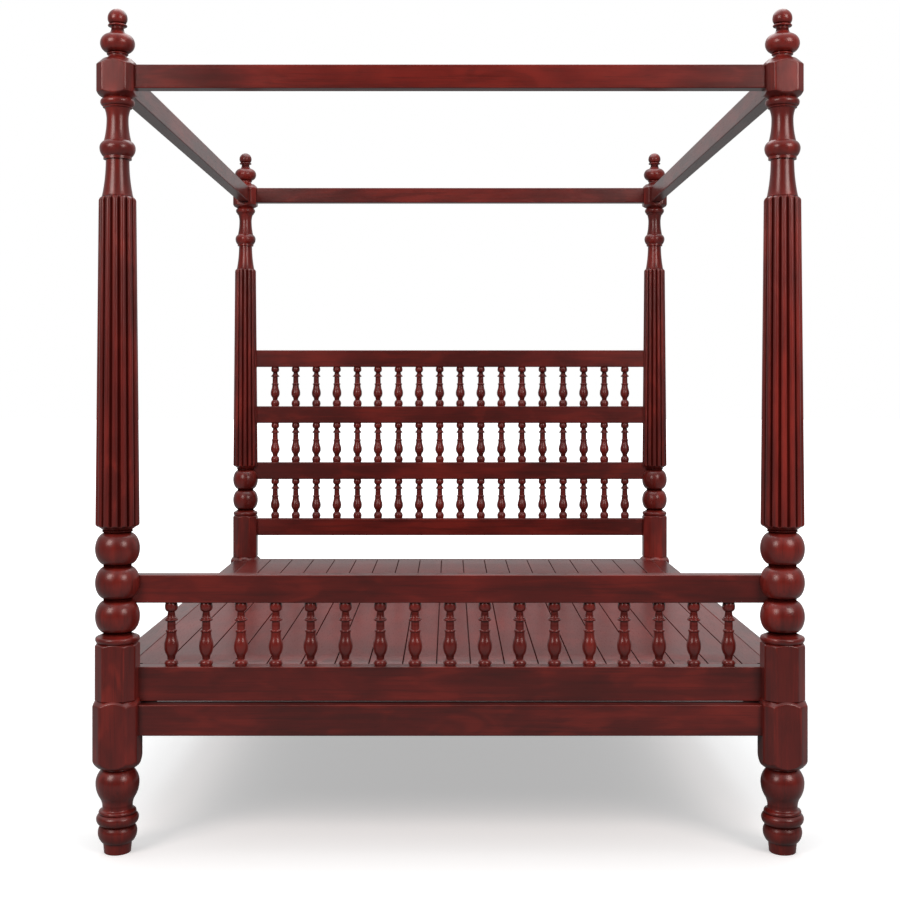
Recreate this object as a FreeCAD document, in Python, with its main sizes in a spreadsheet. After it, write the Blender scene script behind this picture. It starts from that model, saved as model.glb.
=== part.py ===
import FreeCAD, Part
import os
import types

import Sketcher

# A four-poster spindle bed in turned hardwood, in millimetres. The origin is on the floor under the
# middle of the bed, +Z is up, the footboard faces -Y and the headboard stands at +Y.
#
# Each corner is a leg with a turned foot and two square-sawn blocks, a fluted post that stands on the
# leg with a dowel, and a finial with a peg. Rails are housed in the blocks and posts and end in stub
# tenons. Side rails are drawn up by a bolt that runs through the leg into a barrel nut in the rail.
# The posts at the head are turned a little slimmer than those at the foot, with two balls, not three.

# ------------------------------------------------------------------------------------------ sizes
SIZES = {
    # the four posts
    "post_spacing_width": 1662.0,
    "post_spacing_length": 2100.0,
    # turned foot, from the floor up
    "peg_radius": 33.0,
    "peg_top_radius": 35.5,
    "peg_height": 28.0,
    "low_ring_root": 40.0,
    "low_ring_radius": 48.2,
    "low_ring_rise": 24.0,
    "low_ring_fall": 17.0,
    "ring_gap_radius": 42.5,
    "high_ring_radius": 52.2,
    "high_ring_rise": 19.0,
    "high_ring_fall": 28.0,
    "ankle_radius": 37.0,
    "ogee_radius": 45.3,
    "ogee_rise": 26.0,
    "bulb_radius": 53.7,
    "bulb_rise": 33.0,
    "bulb_fall": 35.0,
    "block_neck_radius": 38.0,
    # sawn blocks of the legs
    "lower_block_width": 110.0,
    "lower_block_bevel": 22.0,
    "shoulder_reach": 66.0,
    "lower_shoulder_height": 38.0,
    "upper_shoulder_height": 15.5,
    "foot_lower_block_top": 384.0,
    "head_lower_block_top": 470.0,
    "foot_upper_block_width": 101.0,
    "head_upper_block_width": 94.0,
    "upper_block_bevel": 24.0,
    "leg_shoulder_reach": 7.5,
    "leg_shoulder_height": 6.0,
    "leg_shoulder_depth": 0.8,
    "foot_leg_top": 523.0,
    "head_leg_top": 635.0,
    # post: collar, balls, fluted shaft, vase, ring, neck and bead
    "foot_collar_radius": 54.7,
    "head_collar_radius": 48.5,
    "collar_root_inset": 5.5,
    "collar_rise": 10.0,
    "collar_fall": 13.0,
    "foot_ball_radius": 55.5,
    "head_ball_radius": 50.2,
    "foot_ball_neck": 34.0,
    "head_ball_neck": 31.5,
    "ball_neck_height": 8.0,
    "foot_ball_pitch": 84.5,
    "head_ball_pitch": 82.0,
    "foot_ball_count": 3,
    "head_ball_count": 2,
    "cone_height": 20.5,
    "foot_shaft_radius": 54.0,
    "head_shaft_radius": 49.6,
    "foot_shaft_top_radius": 46.0,
    "head_shaft_top_radius": 42.5,
    "shaft_top": 1624.0,
    "shaft_round": 12.0,
    "foot_vase_foot": 38.0,
    "head_vase_foot": 34.5,
    "foot_vase_radius": 28.8,
    "head_vase_radius": 26.5,
    "vase_height": 94.0,
    "foot_fillet_radius": 34.7,
    "head_fillet_radius": 31.5,
    "fillet_height": 10.0,
    "foot_ring_radius": 44.2,
    "head_ring_radius": 40.4,
    "ring_rise": 21.0,
    "ring_fall": 17.0,
    "foot_neck_radius": 26.5,
    "head_neck_radius": 24.1,
    "neck_fall": 57.0,
    "neck_rise": 25.0,
    "foot_bead_radius": 42.5,
    "head_bead_radius": 38.0,
    "bead_rise": 17.0,
    "bead_fall": 11.0,
    "flute_count": 14,
    "flute_radius": 3.8,
    "flute_depth": 4.0,
    # top block and finial
    "top_block_width": 92.0,
    "top_block_bevel": 17.0,
    "top_block_height": 99.0,
    "top_block_reach": 56.0,
    "top_block_low_shoulder": 12.5,
    "top_block_high_shoulder": 26.5,
    "post_cap_radius": 27.0,
    "post_cap_height": 3.0,
    "finial_foot_radius": 26.0,
    "finial_ball_radius": 42.7,
    "finial_ball_rise": 29.0,
    "finial_ball_fall": 30.0,
    "finial_neck_radius": 16.2,
    "finial_neck_height": 12.0,
    "finial_disc_radius": 23.7,
    "finial_disc_height": 6.0,
    "finial_tip_root": 14.0,
    "finial_tip_radius": 24.5,
    "finial_tip_rise": 14.5,
    "finial_peg_radius": 12.0,
    "finial_peg_length": 28.0,
    # dowel between post and leg
    "dowel_radius": 15.0,
    "dowel_length": 50.0,
    # rails, with their inner offset from the line through the post axes
    "edge_ease": 2.5,
    "canopy_rail_bottom": 1904.0,
    "canopy_rail_height": 59.0,
    "canopy_rail_thickness": 40.0,
    "canopy_seat": 38.0,
    "footboard_inset": 4.0,
    "footboard_thickness": 40.0,
    "footboard_seat": 27.0,
    "footboard_top_rail_height": 70.0,
    "headboard_inset": -32.0,
    "headboard_thickness": 36.0,
    "headboard_seat": 30.0,
    "headboard_bottom": 554.0,
    "headboard_rail_height": 68.0,
    "deck_top": 460.0,
    "deck_rail_height": 86.0,
    "base_rail_bottom": 292.0,
    "base_rail_height": 77.0,
    "base_rail_inset": -16.0,
    "base_rail_thickness": 45.0,
    "base_seat": 36.0,
    "side_rail_thickness": 60.0,
    "side_rail_outset": 7.0,
    "side_seat": 33.0,
    "tenon_end": 17.0,
    "tenon_thickness": 14.0,
    "tenon_shoulder": 10.0,
    "side_tenon_end": 20.0,
    # spindles
    "spindle_length": 160.0,
    "spindle_foot_radius": 14.2,
    "spindle_bulb_radius": 16.2,
    "spindle_neck_radius": 9.5,
    "spindle_belly_radius": 18.4,
    "spindle_waist_radius": 14.8,
    "spindle_stem_radius": 10.5,
    "spindle_disc_radius": 14.4,
    "spindle_collar_radius": 8.4,
    "spindle_head_radius": 15.3,
    "footboard_spindle_count": 17,
    "footboard_spindle_pitch": 87.7,
    "headboard_spindle_count": 18,
    "headboard_spindle_pitch": 83.8,
    "headboard_tier_count": 3,
    # deck
    "board_count": 19,
    "board_width": 84.0,
    "board_gap": 2.0,
    "board_thickness": 20.0,
    "board_end_gap": 1.0,
    "bearer_count": 5,
    "bearer_width": 45.0,
    "bearer_height": 60.0,
    "bearer_end_gap": 1.0,
    "bearer_first_inset": 110.0,
    "ledger_width": 25.0,
    "ledger_height": 30.0,
    "ledger_end_gap": 40.0,
    # bed bolts
    "bolt_height": 325.0,
    "bolt_radius": 4.0,
    "bolt_head_radius": 11.0,
    "bolt_head_height": 8.0,
    "bolt_past_nut": 12.0,
    "counterbore_radius": 13.0,
    "counterbore_depth": 22.0,
    "plug_height": 8.0,
    "nut_setback": 60.0,
    "nut_radius": 7.0,
    "nut_length": 30.0,
    # clearances
    "joint_clearance": 0.2,
    "bolt_clearance": 0.5,
    "mortise_relief": 1.0,
}

# A cutter runs this far past the face that it opens.
OVERRUN = 15.0


class Size:
    """A length and the spreadsheet expression that gives it."""

    def __init__(self, value, text):
        self.value = value
        self.text = text

    @staticmethod
    def of(other):
        return other if isinstance(other, Size) else Size(float(other), f"{float(other):.6f}")

    def __add__(self, other):
        other = Size.of(other)
        return Size(self.value + other.value, f"{self.text} + {other.text}")

    def __sub__(self, other):
        other = Size.of(other)
        return Size(self.value - other.value, f"{self.text} - ({other.text})")

    def __neg__(self):
        return Size(-self.value, f"0 - ({self.text})")

    def __mul__(self, other):
        other = Size.of(other)
        return Size(self.value * other.value, f"({self.text}) * ({other.text})")

    def __truediv__(self, other):
        other = Size.of(other)
        return Size(self.value / other.value, f"({self.text}) / ({other.text})")


ZERO = Size(0.0, "0")

doc = FreeCAD.newDocument("spindle_bed")
sheet = doc.addObject("Spreadsheet::Sheet", "Sizes")
for row, (alias, number) in enumerate(SIZES.items(), start=1):
    sheet.set(f"A{row}", alias)
    sheet.set(f"B{row}", str(number))
    sheet.setAlias(f"B{row}", alias)
doc.recompute()
S = types.SimpleNamespace(**{alias: Size(float(sheet.get(alias)), f"Sizes.{alias}") for alias in SIZES})

parts = []


def count(size):
    return int(round(size.value))


def at_end(end, name):
    """The foot posts' or the head posts' own value of a size."""
    return getattr(S, f"{end}_{name}")


# ---------------------------------------------------------------------------------------- drawing
class Profile:
    """Half outline of a turned piece, drawn upwards. Every arc stands upright at its widest or
    narrowest point, so its radius follows from how far it moves out and up."""

    def __init__(self, r, z):
        self.points = [(r, z)]
        self.radii = []

    @property
    def r(self):
        return self.points[-1][0]

    @property
    def z(self):
        return self.points[-1][1]

    def line(self, r, rise):
        self.points.append((r, self.z + rise))
        self.radii.append(None)

    def curve(self, r, rise, upright_at_start):
        out = r - self.r
        radius = (out * out + rise * rise) / (out * 2)
        self.points.append((r, self.z + rise))
        self.radii.append((radius, upright_at_start))

    def bead(self, widest, rise, end, fall):
        """Out to the widest (or in to the narrowest) point, then on to the end radius."""
        self.curve(widest, rise, upright_at_start=False)
        self.curve(end, fall, upright_at_start=True)


def tie(sketch, geometry, vertex, x, y):
    """Ties one vertex of the sketch to its sizes."""
    for kind, size, axis in (("DistanceX", x, -2), ("DistanceY", y, -1)):
        if size is ZERO:
            sketch.addConstraint(Sketcher.Constraint("PointOnObject", geometry, vertex, axis))
            continue
        index = sketch.addConstraint(Sketcher.Constraint(kind, -1, 1, geometry, vertex, size.value))
        sketch.setExpression(f"Constraints[{index}]", size.text)


def draw_outline(sketch, points, radii):
    """Draws a closed outline through the points; radii holds None for a straight edge."""
    flat = [FreeCAD.Vector(x.value, y.value, 0) for x, y in points]
    edges = []
    for number, radius in enumerate(radii):
        start, stop = flat[number], flat[(number + 1) % len(flat)]
        if radius is None:
            edges.append(sketch.addGeometry(Part.LineSegment(start, stop)))
            continue
        size, upright_at_start = radius
        upright = start if upright_at_start else stop
        sign = 1.0 if upright_at_start else -1.0
        centre = FreeCAD.Vector(upright.x + sign * size.value, upright.y, 0)
        middle = (start + stop) * 0.5 - centre
        middle.normalize()
        edges.append(sketch.addGeometry(Part.Arc(start, centre + middle * abs(size.value), stop)))
    for number, edge in enumerate(edges):
        start = flat[number]
        first = 1 if (sketch.getPoint(edge, 1) - start).Length < 1e-6 else 2
        before = edges[number - 1]
        last = 2 if (sketch.getPoint(before, 2) - start).Length < 1e-6 else 1
        sketch.addConstraint(Sketcher.Constraint("Coincident", before, last, edge, first))
        tie(sketch, edge, first, *points[number])
        if radii[number] is not None:
            size = radii[number][0]
            sign = "" if size.value > 0 else "0 - "
            index = sketch.addConstraint(Sketcher.Constraint("Radius", edge, abs(size.value)))
            sketch.setExpression(f"Constraints[{index}]", f"{sign}({size.text})")


def new_body(name):
    body = doc.addObject("PartDesign::Body", name)
    body.Label = name
    return body


def new_sketch(body, name, plane):
    sketch = body.newObject("Sketcher::SketchObject", name)
    support = next(item for item in body.Origin.OriginFeatures if item.Role == plane)
    sketch.AttachmentSupport = [(support, "")]
    sketch.MapMode = "FlatFace"
    return sketch


def revolve(body, name, profile, kind="PartDesign::Revolution"):
    """Turns the profile, closed along the axis, about Z."""
    sketch = new_sketch(body, f"{name}_outline", "XZ_Plane")
    points = [(ZERO, profile.points[0][1])] + profile.points
    radii = [None] + profile.radii
    if profile.r is not ZERO:
        points.append((ZERO, profile.z))
        radii.append(None)
    radii.append(None)
    draw_outline(sketch, points, radii)
    feature = body.newObject(kind, name)
    feature.Profile = sketch
    feature.ReferenceAxis = (sketch, ["V_Axis"])
    feature.Angle = 360
    return feature


def prism(body, name, half_x, half_y, bevel, bottom, height):
    """A bevelled rectangular block that stands on the level `bottom`."""
    sketch = new_sketch(body, f"{name}_outline", "XY_Plane")
    sketch.setExpression("AttachmentOffset.Base.z", bottom.text)
    inner_x, inner_y = half_x - bevel, half_y - bevel
    points = [(half_x, -inner_y), (half_x, inner_y), (inner_x, half_y), (-inner_x, half_y),
              (-half_x, inner_y), (-half_x, -inner_y), (-inner_x, -half_y), (inner_x, -half_y)]
    draw_outline(sketch, points, [None] * len(points))
    pad = body.newObject("PartDesign::Pad", name)
    pad.Profile = sketch
    pad.setExpression("Length", height.text)
    return pad


def shoulder(body, name, reach, z_reach, end, z_end, rounded=False):
    """Turns the corners of a block down from full width at z_reach to the radius `end` at z_end."""
    out = reach - end
    rise = z_end - z_reach
    radius = (out * out + rise * rise) / (out * 2)
    far = reach + OVERRUN
    points = [(reach, z_reach), (end, z_end), (far, z_end), (far, z_reach)]
    sketch = new_sketch(body, f"{name}_outline", "XZ_Plane")
    draw_outline(sketch, points, [(-radius, True) if rounded else None, None, None, None])
    groove = body.newObject("PartDesign::Groove", name)
    groove.Profile = sketch
    groove.ReferenceAxis = (sketch, ["V_Axis"])
    groove.Angle = 360
    return groove


def box(body, name, kind, low, high):
    """A box between two opposite corners, added or cut."""
    feature = body.newObject(f"PartDesign::{kind}Box", name)
    for side, axis, near, far in zip(("Length", "Width", "Height"), "xyz", low, high):
        feature.setExpression(side, (far - near).text)
        feature.setExpression(f"Placement.Base.{axis}", near.text)
    return feature


def cylinder(body, name, kind, radius, length, base, direction=None):
    """A cylinder from the point `base`, along Z or along another direction."""
    feature = body.newObject(f"PartDesign::{kind}Cylinder", name)
    feature.setExpression("Radius", radius.text)
    feature.setExpression("Height", length.text)
    if direction is not None:
        turn = FreeCAD.Rotation(FreeCAD.Vector(0, 0, 1), FreeCAD.Vector(*direction))
        feature.Placement = FreeCAD.Placement(FreeCAD.Vector(), turn)
    for axis, size in zip("xyz", base):
        feature.setExpression(f"Placement.Base.{axis}", size.text)
    return feature


def place(body, x=ZERO, y=ZERO, z=ZERO, quarter_turn=False):
    if quarter_turn:
        body.Placement = FreeCAD.Placement(FreeCAD.Vector(), FreeCAD.Rotation(FreeCAD.Vector(0, 0, 1), 90))
    for axis, size in zip("xyz", (x, y, z)):
        body.setExpression(f"Placement.Base.{axis}", size.text)
    parts.append(body)


# ------------------------------------------------------------------------------- levels and places
half_width = S.post_spacing_width / 2
half_length = S.post_spacing_length / 2
foot_turning = (S.peg_height + S.low_ring_rise + S.low_ring_fall + S.high_ring_rise + S.high_ring_fall
                + S.ogee_rise + S.bulb_rise + S.bulb_fall)
bead_top = (S.shaft_top + S.shaft_round + S.vase_height + S.fillet_height + S.ring_rise + S.ring_fall
            + S.neck_fall + S.neck_rise + S.bead_rise + S.bead_fall)
post_top = bead_top + S.top_block_height + S.post_cap_height
deck_rail_bottom = S.deck_top - S.deck_rail_height
footboard_top_bottom = S.deck_top + S.spindle_length
headboard_module = S.headboard_rail_height + S.spindle_length
side_rail_height = S.deck_top - S.base_rail_bottom
side_rail_centre = half_width + S.side_rail_outset
deck_half = side_rail_centre - S.side_rail_thickness / 2 - S.board_end_gap
deck_bottom = S.deck_top - S.board_thickness
ledger_top = deck_bottom - S.bearer_height
lower_half = S.lower_block_width / 2

# Each corner looks inwards along +X or -X, and along +Y (foot) or -Y (head).
CORNERS = {
    "foot_left": ("foot", 1, 1),
    "foot_right": ("foot", -1, 1),
    "head_left": ("head", 1, -1),
    "head_right": ("head", -1, -1),
}


def rails_at(end):
    """Rails that enter the posts of one end along X, as (inset, thickness, seat, bottom, height)."""
    rails = {
        "base_rail": (S.base_rail_inset, S.base_rail_thickness, S.base_seat,
                      S.base_rail_bottom, S.base_rail_height),
        "deck_rail": (S.footboard_inset, S.footboard_thickness, S.footboard_seat,
                      deck_rail_bottom, S.deck_rail_height),
        "canopy_rail": (-S.canopy_rail_thickness / 2, S.canopy_rail_thickness, S.canopy_seat,
                        S.canopy_rail_bottom, S.canopy_rail_height),
    }
    if end == "foot":
        rails["footboard_top_rail"] = (S.footboard_inset, S.footboard_thickness, S.footboard_seat,
                                       footboard_top_bottom, S.footboard_top_rail_height)
        return rails
    for number in range(count(S.headboard_tier_count) + 1):
        bottom = S.headboard_bottom + headboard_module * number
        rails[f"headboard_rail_{number + 1}"] = (S.headboard_inset, S.headboard_thickness,
                                                 S.headboard_seat, bottom, S.headboard_rail_height)
    return rails


def tenon_span(inset, thickness):
    """The stub tenon lies against the face of its rail that is nearer the post's axis."""
    if inset.value + thickness.value / 2 < 0:
        return inset + thickness - S.tenon_thickness, inset + thickness
    if inset.value > 0:
        return inset, inset + S.tenon_thickness
    return -S.tenon_thickness / 2, S.tenon_thickness / 2


def span(sign, low, high):
    """The interval, mirrored where the corner looks the other way."""
    return (low, high) if sign > 0 else (-high, -low)


def cut_housing(body, name, signs, u, v, z):
    """A square-cornered recess, given in the corner's own inward directions u and v."""
    (x_low, x_high), (y_low, y_high) = span(signs[0], *u), span(signs[1], *v)
    box(body, name, "Subtractive", (x_low, y_low, z[0]), (x_high, y_high, z[1]))


def cut_end_rails(body, end, signs, low, high, outside):
    """Housings and mortises for the rails along X whose bottom lies between two levels."""
    gap = S.joint_clearance
    for name, (inset, thickness, seat, bottom, height) in rails_at(end).items():
        if not low.value <= bottom.value < high.value:
            continue
        v = (inset - gap, inset + thickness + gap)
        z = (bottom - gap, bottom + height + gap)
        cut_housing(body, f"{name}_housing", signs, (seat, outside), v, z)
        t_low, t_high = tenon_span(inset, thickness)
        v = (t_low - gap, t_high + gap)
        z = (bottom + S.tenon_shoulder - gap, bottom + height - S.tenon_shoulder + gap)
        u = (S.tenon_end - S.mortise_relief, seat)
        cut_housing(body, f"{name}_mortise", signs, u, v, z)


# ------------------------------------------------------------------------------------- the corners
def make_leg(corner, end, side, inward):
    """Leg: turned foot, wide lower block, slimmer upper block, housings, dowel bore and bolt bore."""
    body = new_body(f"{corner}_leg")
    block_top = at_end(end, "lower_block_top")
    leg_top = at_end(end, "leg_top")
    upper_half = at_end(end, "upper_block_width") / 2
    gap = S.joint_clearance

    outline = Profile(S.peg_radius, ZERO)
    outline.line(S.peg_top_radius, S.peg_height)
    outline.line(S.low_ring_root, ZERO)
    outline.bead(S.low_ring_radius, S.low_ring_rise, S.ring_gap_radius, S.low_ring_fall)
    outline.bead(S.high_ring_radius, S.high_ring_rise, S.ankle_radius, S.high_ring_fall)
    outline.curve(S.ogee_radius, S.ogee_rise, upright_at_start=True)
    outline.bead(S.bulb_radius, S.bulb_rise, S.block_neck_radius, S.bulb_fall)
    outline.line(S.block_neck_radius, leg_top - S.leg_shoulder_height - foot_turning)
    revolve(body, "turned_foot", outline)

    prism(body, "lower_block", lower_half, lower_half, S.lower_block_bevel, foot_turning,
          block_top - foot_turning)
    shoulder(body, "lower_block_foot", S.shoulder_reach, foot_turning + S.lower_shoulder_height,
             S.block_neck_radius, foot_turning, rounded=True)
    shoulder(body, "lower_block_head", S.shoulder_reach, block_top - S.upper_shoulder_height,
             upper_half, block_top)
    prism(body, "upper_block", upper_half, upper_half, S.upper_block_bevel, block_top,
          leg_top - block_top)
    shoulder(body, "upper_block_head", upper_half + S.leg_shoulder_reach, leg_top - S.leg_shoulder_height,
             upper_half - S.leg_shoulder_depth, leg_top)

    cylinder(body, "dowel_bore", "Subtractive", S.dowel_radius + gap, S.dowel_length + S.mortise_relief,
             (ZERO, ZERO, leg_top - S.dowel_length - S.mortise_relief))
    signs = (side, inward)
    outside = lower_half + OVERRUN
    cut_end_rails(body, end, signs, ZERO, leg_top, outside)

    rail_centre = -S.side_rail_outset
    half = S.side_rail_thickness / 2
    cut_housing(body, "side_rail_housing", signs, (rail_centre - half - gap, rail_centre + half + gap),
                (S.side_seat, outside), (S.base_rail_bottom - gap, S.deck_top + gap))
    tenon_half = S.tenon_thickness / 2
    cut_housing(body, "side_rail_mortise", signs,
                (rail_centre - tenon_half - gap, rail_centre + tenon_half + gap),
                (S.side_tenon_end - S.mortise_relief, S.side_seat),
                (deck_rail_bottom - gap, S.deck_top - S.tenon_shoulder + gap))
    bolt_x = rail_centre if side > 0 else -rail_centre
    face = -lower_half if inward > 0 else lower_half
    cylinder(body, "bolt_counterbore", "Subtractive", S.counterbore_radius, S.counterbore_depth,
             (bolt_x, face, S.bolt_height), (0, inward, 0))
    cylinder(body, "bolt_bore", "Subtractive", S.bolt_radius + S.bolt_clearance, S.lower_block_width,
             (bolt_x, face, S.bolt_height), (0, inward, 0))
    place(body, x=-half_width if side > 0 else half_width, y=-half_length if inward > 0 else half_length)


def make_post(corner, end, side, inward):
    """Post: dowel, collar, balls, fluted shaft, vase, ring, neck, bead and top block."""
    body = new_body(f"{corner}_post")
    leg_top = at_end(end, "leg_top")
    neck = at_end(end, "ball_neck")
    half_ball = (at_end(end, "ball_pitch") - S.ball_neck_height) / 2
    shaft_foot, shaft_head = at_end(end, "shaft_radius"), at_end(end, "shaft_top_radius")

    outline = Profile(S.dowel_radius, leg_top - S.dowel_length)
    outline.line(S.dowel_radius, S.dowel_length)
    outline.line(at_end(end, "collar_radius") - S.collar_root_inset, ZERO)
    outline.bead(at_end(end, "collar_radius"), S.collar_rise, neck, S.collar_fall)
    for _ in range(count(at_end(end, "ball_count"))):
        outline.line(neck, S.ball_neck_height / 2)
        outline.bead(at_end(end, "ball_radius"), half_ball, neck, half_ball)
        outline.line(neck, S.ball_neck_height / 2)
    outline.line(shaft_foot, S.cone_height)
    shaft_bottom = outline.z
    outline.line(shaft_head, S.shaft_top - shaft_bottom)
    outline.curve(at_end(end, "vase_foot"), S.shaft_round, upright_at_start=True)
    outline.curve(at_end(end, "vase_radius"), S.vase_height, upright_at_start=False)
    outline.line(at_end(end, "fillet_radius"), S.fillet_height)
    outline.bead(at_end(end, "ring_radius"), S.ring_rise, at_end(end, "fillet_radius"), S.ring_fall)
    outline.bead(at_end(end, "neck_radius"), S.neck_fall, at_end(end, "fillet_radius"), S.neck_rise)
    outline.bead(at_end(end, "bead_radius"), S.bead_rise, at_end(end, "fillet_radius"), S.bead_fall)
    outline.line(S.post_cap_radius, ZERO)
    outline.line(S.post_cap_radius, S.top_block_height + S.post_cap_height)
    revolve(body, "turned_post", outline)

    flute = cylinder(body, "flute", "Subtractive", S.flute_radius,
                     S.shaft_top - shaft_bottom + S.shaft_round + S.cone_height * 0.4 + OVERRUN,
                     (shaft_foot + S.flute_radius - S.flute_depth, ZERO,
                      shaft_bottom - S.cone_height * 0.4), (0, 0, 1))
    slope = (shaft_foot - shaft_head) / (S.shaft_top - shaft_bottom)
    flute.Placement = FreeCAD.Placement(FreeCAD.Vector(), FreeCAD.Rotation(FreeCAD.Vector(0, -1, 0), 0.5))
    flute.setExpression("Placement.Rotation.Angle", f"atan({slope.text})")
    flutes = body.newObject("PartDesign::PolarPattern", "flutes")
    flutes.Originals = [flute]
    axis = next(item for item in body.Origin.OriginFeatures if item.Role == "Z_Axis")
    flutes.Axis = (axis, [""])
    flutes.Angle = 360
    flutes.setExpression("Occurrences", S.flute_count.text)
    body.Tip = flutes

    block_half = S.top_block_width / 2
    block_top = bead_top + S.top_block_height
    prism(body, "top_block", block_half, block_half, S.top_block_bevel, bead_top, S.top_block_height)
    shoulder(body, "top_block_foot", S.top_block_reach, bead_top + S.top_block_low_shoulder,
             at_end(end, "fillet_radius"), bead_top)
    shoulder(body, "top_block_head", S.top_block_reach, block_top - S.top_block_high_shoulder,
             S.post_cap_radius, block_top)
    cylinder(body, "finial_bore", "Subtractive", S.finial_peg_radius + S.joint_clearance,
             S.finial_peg_length + S.mortise_relief,
             (ZERO, ZERO, post_top - S.finial_peg_length - S.mortise_relief))

    signs = (side, inward)
    outside = lower_half + OVERRUN
    cut_end_rails(body, end, signs, leg_top, post_top, outside)
    gap = S.joint_clearance
    half = S.canopy_rail_thickness / 2
    tenon_half = S.tenon_thickness / 2
    top = S.canopy_rail_bottom + S.canopy_rail_height
    cut_housing(body, "side_canopy_housing", signs, (-half - gap, half + gap),
                (S.canopy_seat, outside), (S.canopy_rail_bottom - gap, top + gap))
    cut_housing(body, "side_canopy_mortise", signs, (-tenon_half - gap, tenon_half + gap),
                (S.tenon_end - S.mortise_relief, S.canopy_seat),
                (S.canopy_rail_bottom + S.tenon_shoulder - gap, top - S.tenon_shoulder + gap))
    place(body, x=-half_width if side > 0 else half_width, y=-half_length if inward > 0 else half_length)


def make_finial(corner, side, inward):
    """Finial: peg, flattened ball, disc and tip."""
    body = new_body(f"{corner}_finial")
    outline = Profile(S.finial_peg_radius, post_top - S.finial_peg_length)
    outline.line(S.finial_peg_radius, S.finial_peg_length)
    outline.line(S.finial_foot_radius, ZERO)
    outline.bead(S.finial_ball_radius, S.finial_ball_rise, S.finial_neck_radius, S.finial_ball_fall)
    outline.line(S.finial_neck_radius, S.finial_neck_height)
    outline.line(S.finial_disc_radius, ZERO)
    outline.line(S.finial_disc_radius, S.finial_disc_height)
    outline.line(S.finial_tip_root, ZERO)
    outline.bead(S.finial_tip_radius, S.finial_tip_rise, ZERO, S.finial_tip_radius)
    revolve(body, "turned_finial", outline)
    place(body, x=-half_width if side > 0 else half_width, y=-half_length if inward > 0 else half_length)


# --------------------------------------------------------------------------------------- the rails
def make_bar(name, length, thickness, height, tenons=()):
    """A bar along X with eased edges, its middle on the local origin and its underside at zero.
    Each tenon is (reach, (y low, y high), (z low, z high)), and stands out of both ends."""
    body = new_body(name)
    sketch = new_sketch(body, "section", "YZ_Plane")
    sketch.setExpression("AttachmentOffset.Base.z", (-length / 2).text)
    half = thickness / 2
    inner = half - S.edge_ease
    low, high = S.edge_ease, height - S.edge_ease
    points = [(half, low), (half, high), (inner, height), (-inner, height),
              (-half, high), (-half, low), (-inner, ZERO), (inner, ZERO)]
    draw_outline(sketch, points, [None] * len(points))
    pad = body.newObject("PartDesign::Pad", "bar")
    pad.Profile = sketch
    pad.setExpression("Length", length.text)
    for number, (reach, y, z) in enumerate(tenons):
        end = length / 2
        box(body, f"tenon_{number}_a", "Additive", (end, y[0], z[0]), (end + reach, y[1], z[1]))
        box(body, f"tenon_{number}_b", "Additive", (-end - reach, y[0], z[0]), (-end, y[1], z[1]))
    return body


def make_end_rail(name, end, which):
    """A rail along X at the foot or the head."""
    inset, thickness, seat, bottom, height = rails_at(end)[which]
    middle = inset + thickness / 2
    t_low, t_high = tenon_span(inset, thickness)
    y = (t_low - middle, t_high - middle)
    if end == "head":
        y = (-y[1], -y[0])
    tenon = (seat - S.tenon_end, y, (S.tenon_shoulder, height - S.tenon_shoulder))
    body = make_bar(name, S.post_spacing_width - seat * 2, thickness, height, [tenon])
    place(body, y=middle - half_length if end == "foot" else half_length - middle, z=bottom)


def make_canopy_side(name, side):
    half = S.tenon_thickness / 2
    tenon = (S.canopy_seat - S.tenon_end, (-half, half),
             (S.tenon_shoulder, S.canopy_rail_height - S.tenon_shoulder))
    body = make_bar(name, S.post_spacing_length - S.canopy_seat * 2, S.canopy_rail_thickness,
                    S.canopy_rail_height, [tenon])
    place(body, x=-half_width if side > 0 else half_width, z=S.canopy_rail_bottom, quarter_turn=True)


def make_side_rail(name, side):
    """Side rail: a deep rail on edge, with a bolt bore and a cross bore for a barrel nut each end."""
    half = S.tenon_thickness / 2
    tenon_low = deck_rail_bottom - S.base_rail_bottom
    tenon = (S.side_seat - S.side_tenon_end, (-half, half),
             (tenon_low, side_rail_height - S.tenon_shoulder))
    length = S.post_spacing_length - S.side_seat * 2
    body = make_bar(name, length, S.side_rail_thickness, side_rail_height, [tenon])
    z = S.bolt_height - S.base_rail_bottom
    reach = S.nut_setback + S.bolt_past_nut + S.mortise_relief
    for label, sign in (("a", 1), ("b", -1)):
        end = length / 2 if sign > 0 else -length / 2
        nut = length / 2 - S.nut_setback
        cylinder(body, f"bolt_bore_{label}", "Subtractive", S.bolt_radius + S.bolt_clearance, reach,
                 (end, ZERO, z), (-sign, 0, 0))
        # the cross bore opens on the face that looks into the bed
        face = -S.side_rail_thickness / 2 if side > 0 else S.side_rail_thickness / 2
        depth = S.side_rail_thickness / 2 + S.nut_length / 2
        cylinder(body, f"nut_bore_{label}", "Subtractive", S.nut_radius + S.joint_clearance, depth,
                 (nut if sign > 0 else -nut, face, z), (0, side, 0))
    place(body, x=-side_rail_centre if side > 0 else side_rail_centre, z=S.base_rail_bottom,
          quarter_turn=True)


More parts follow.
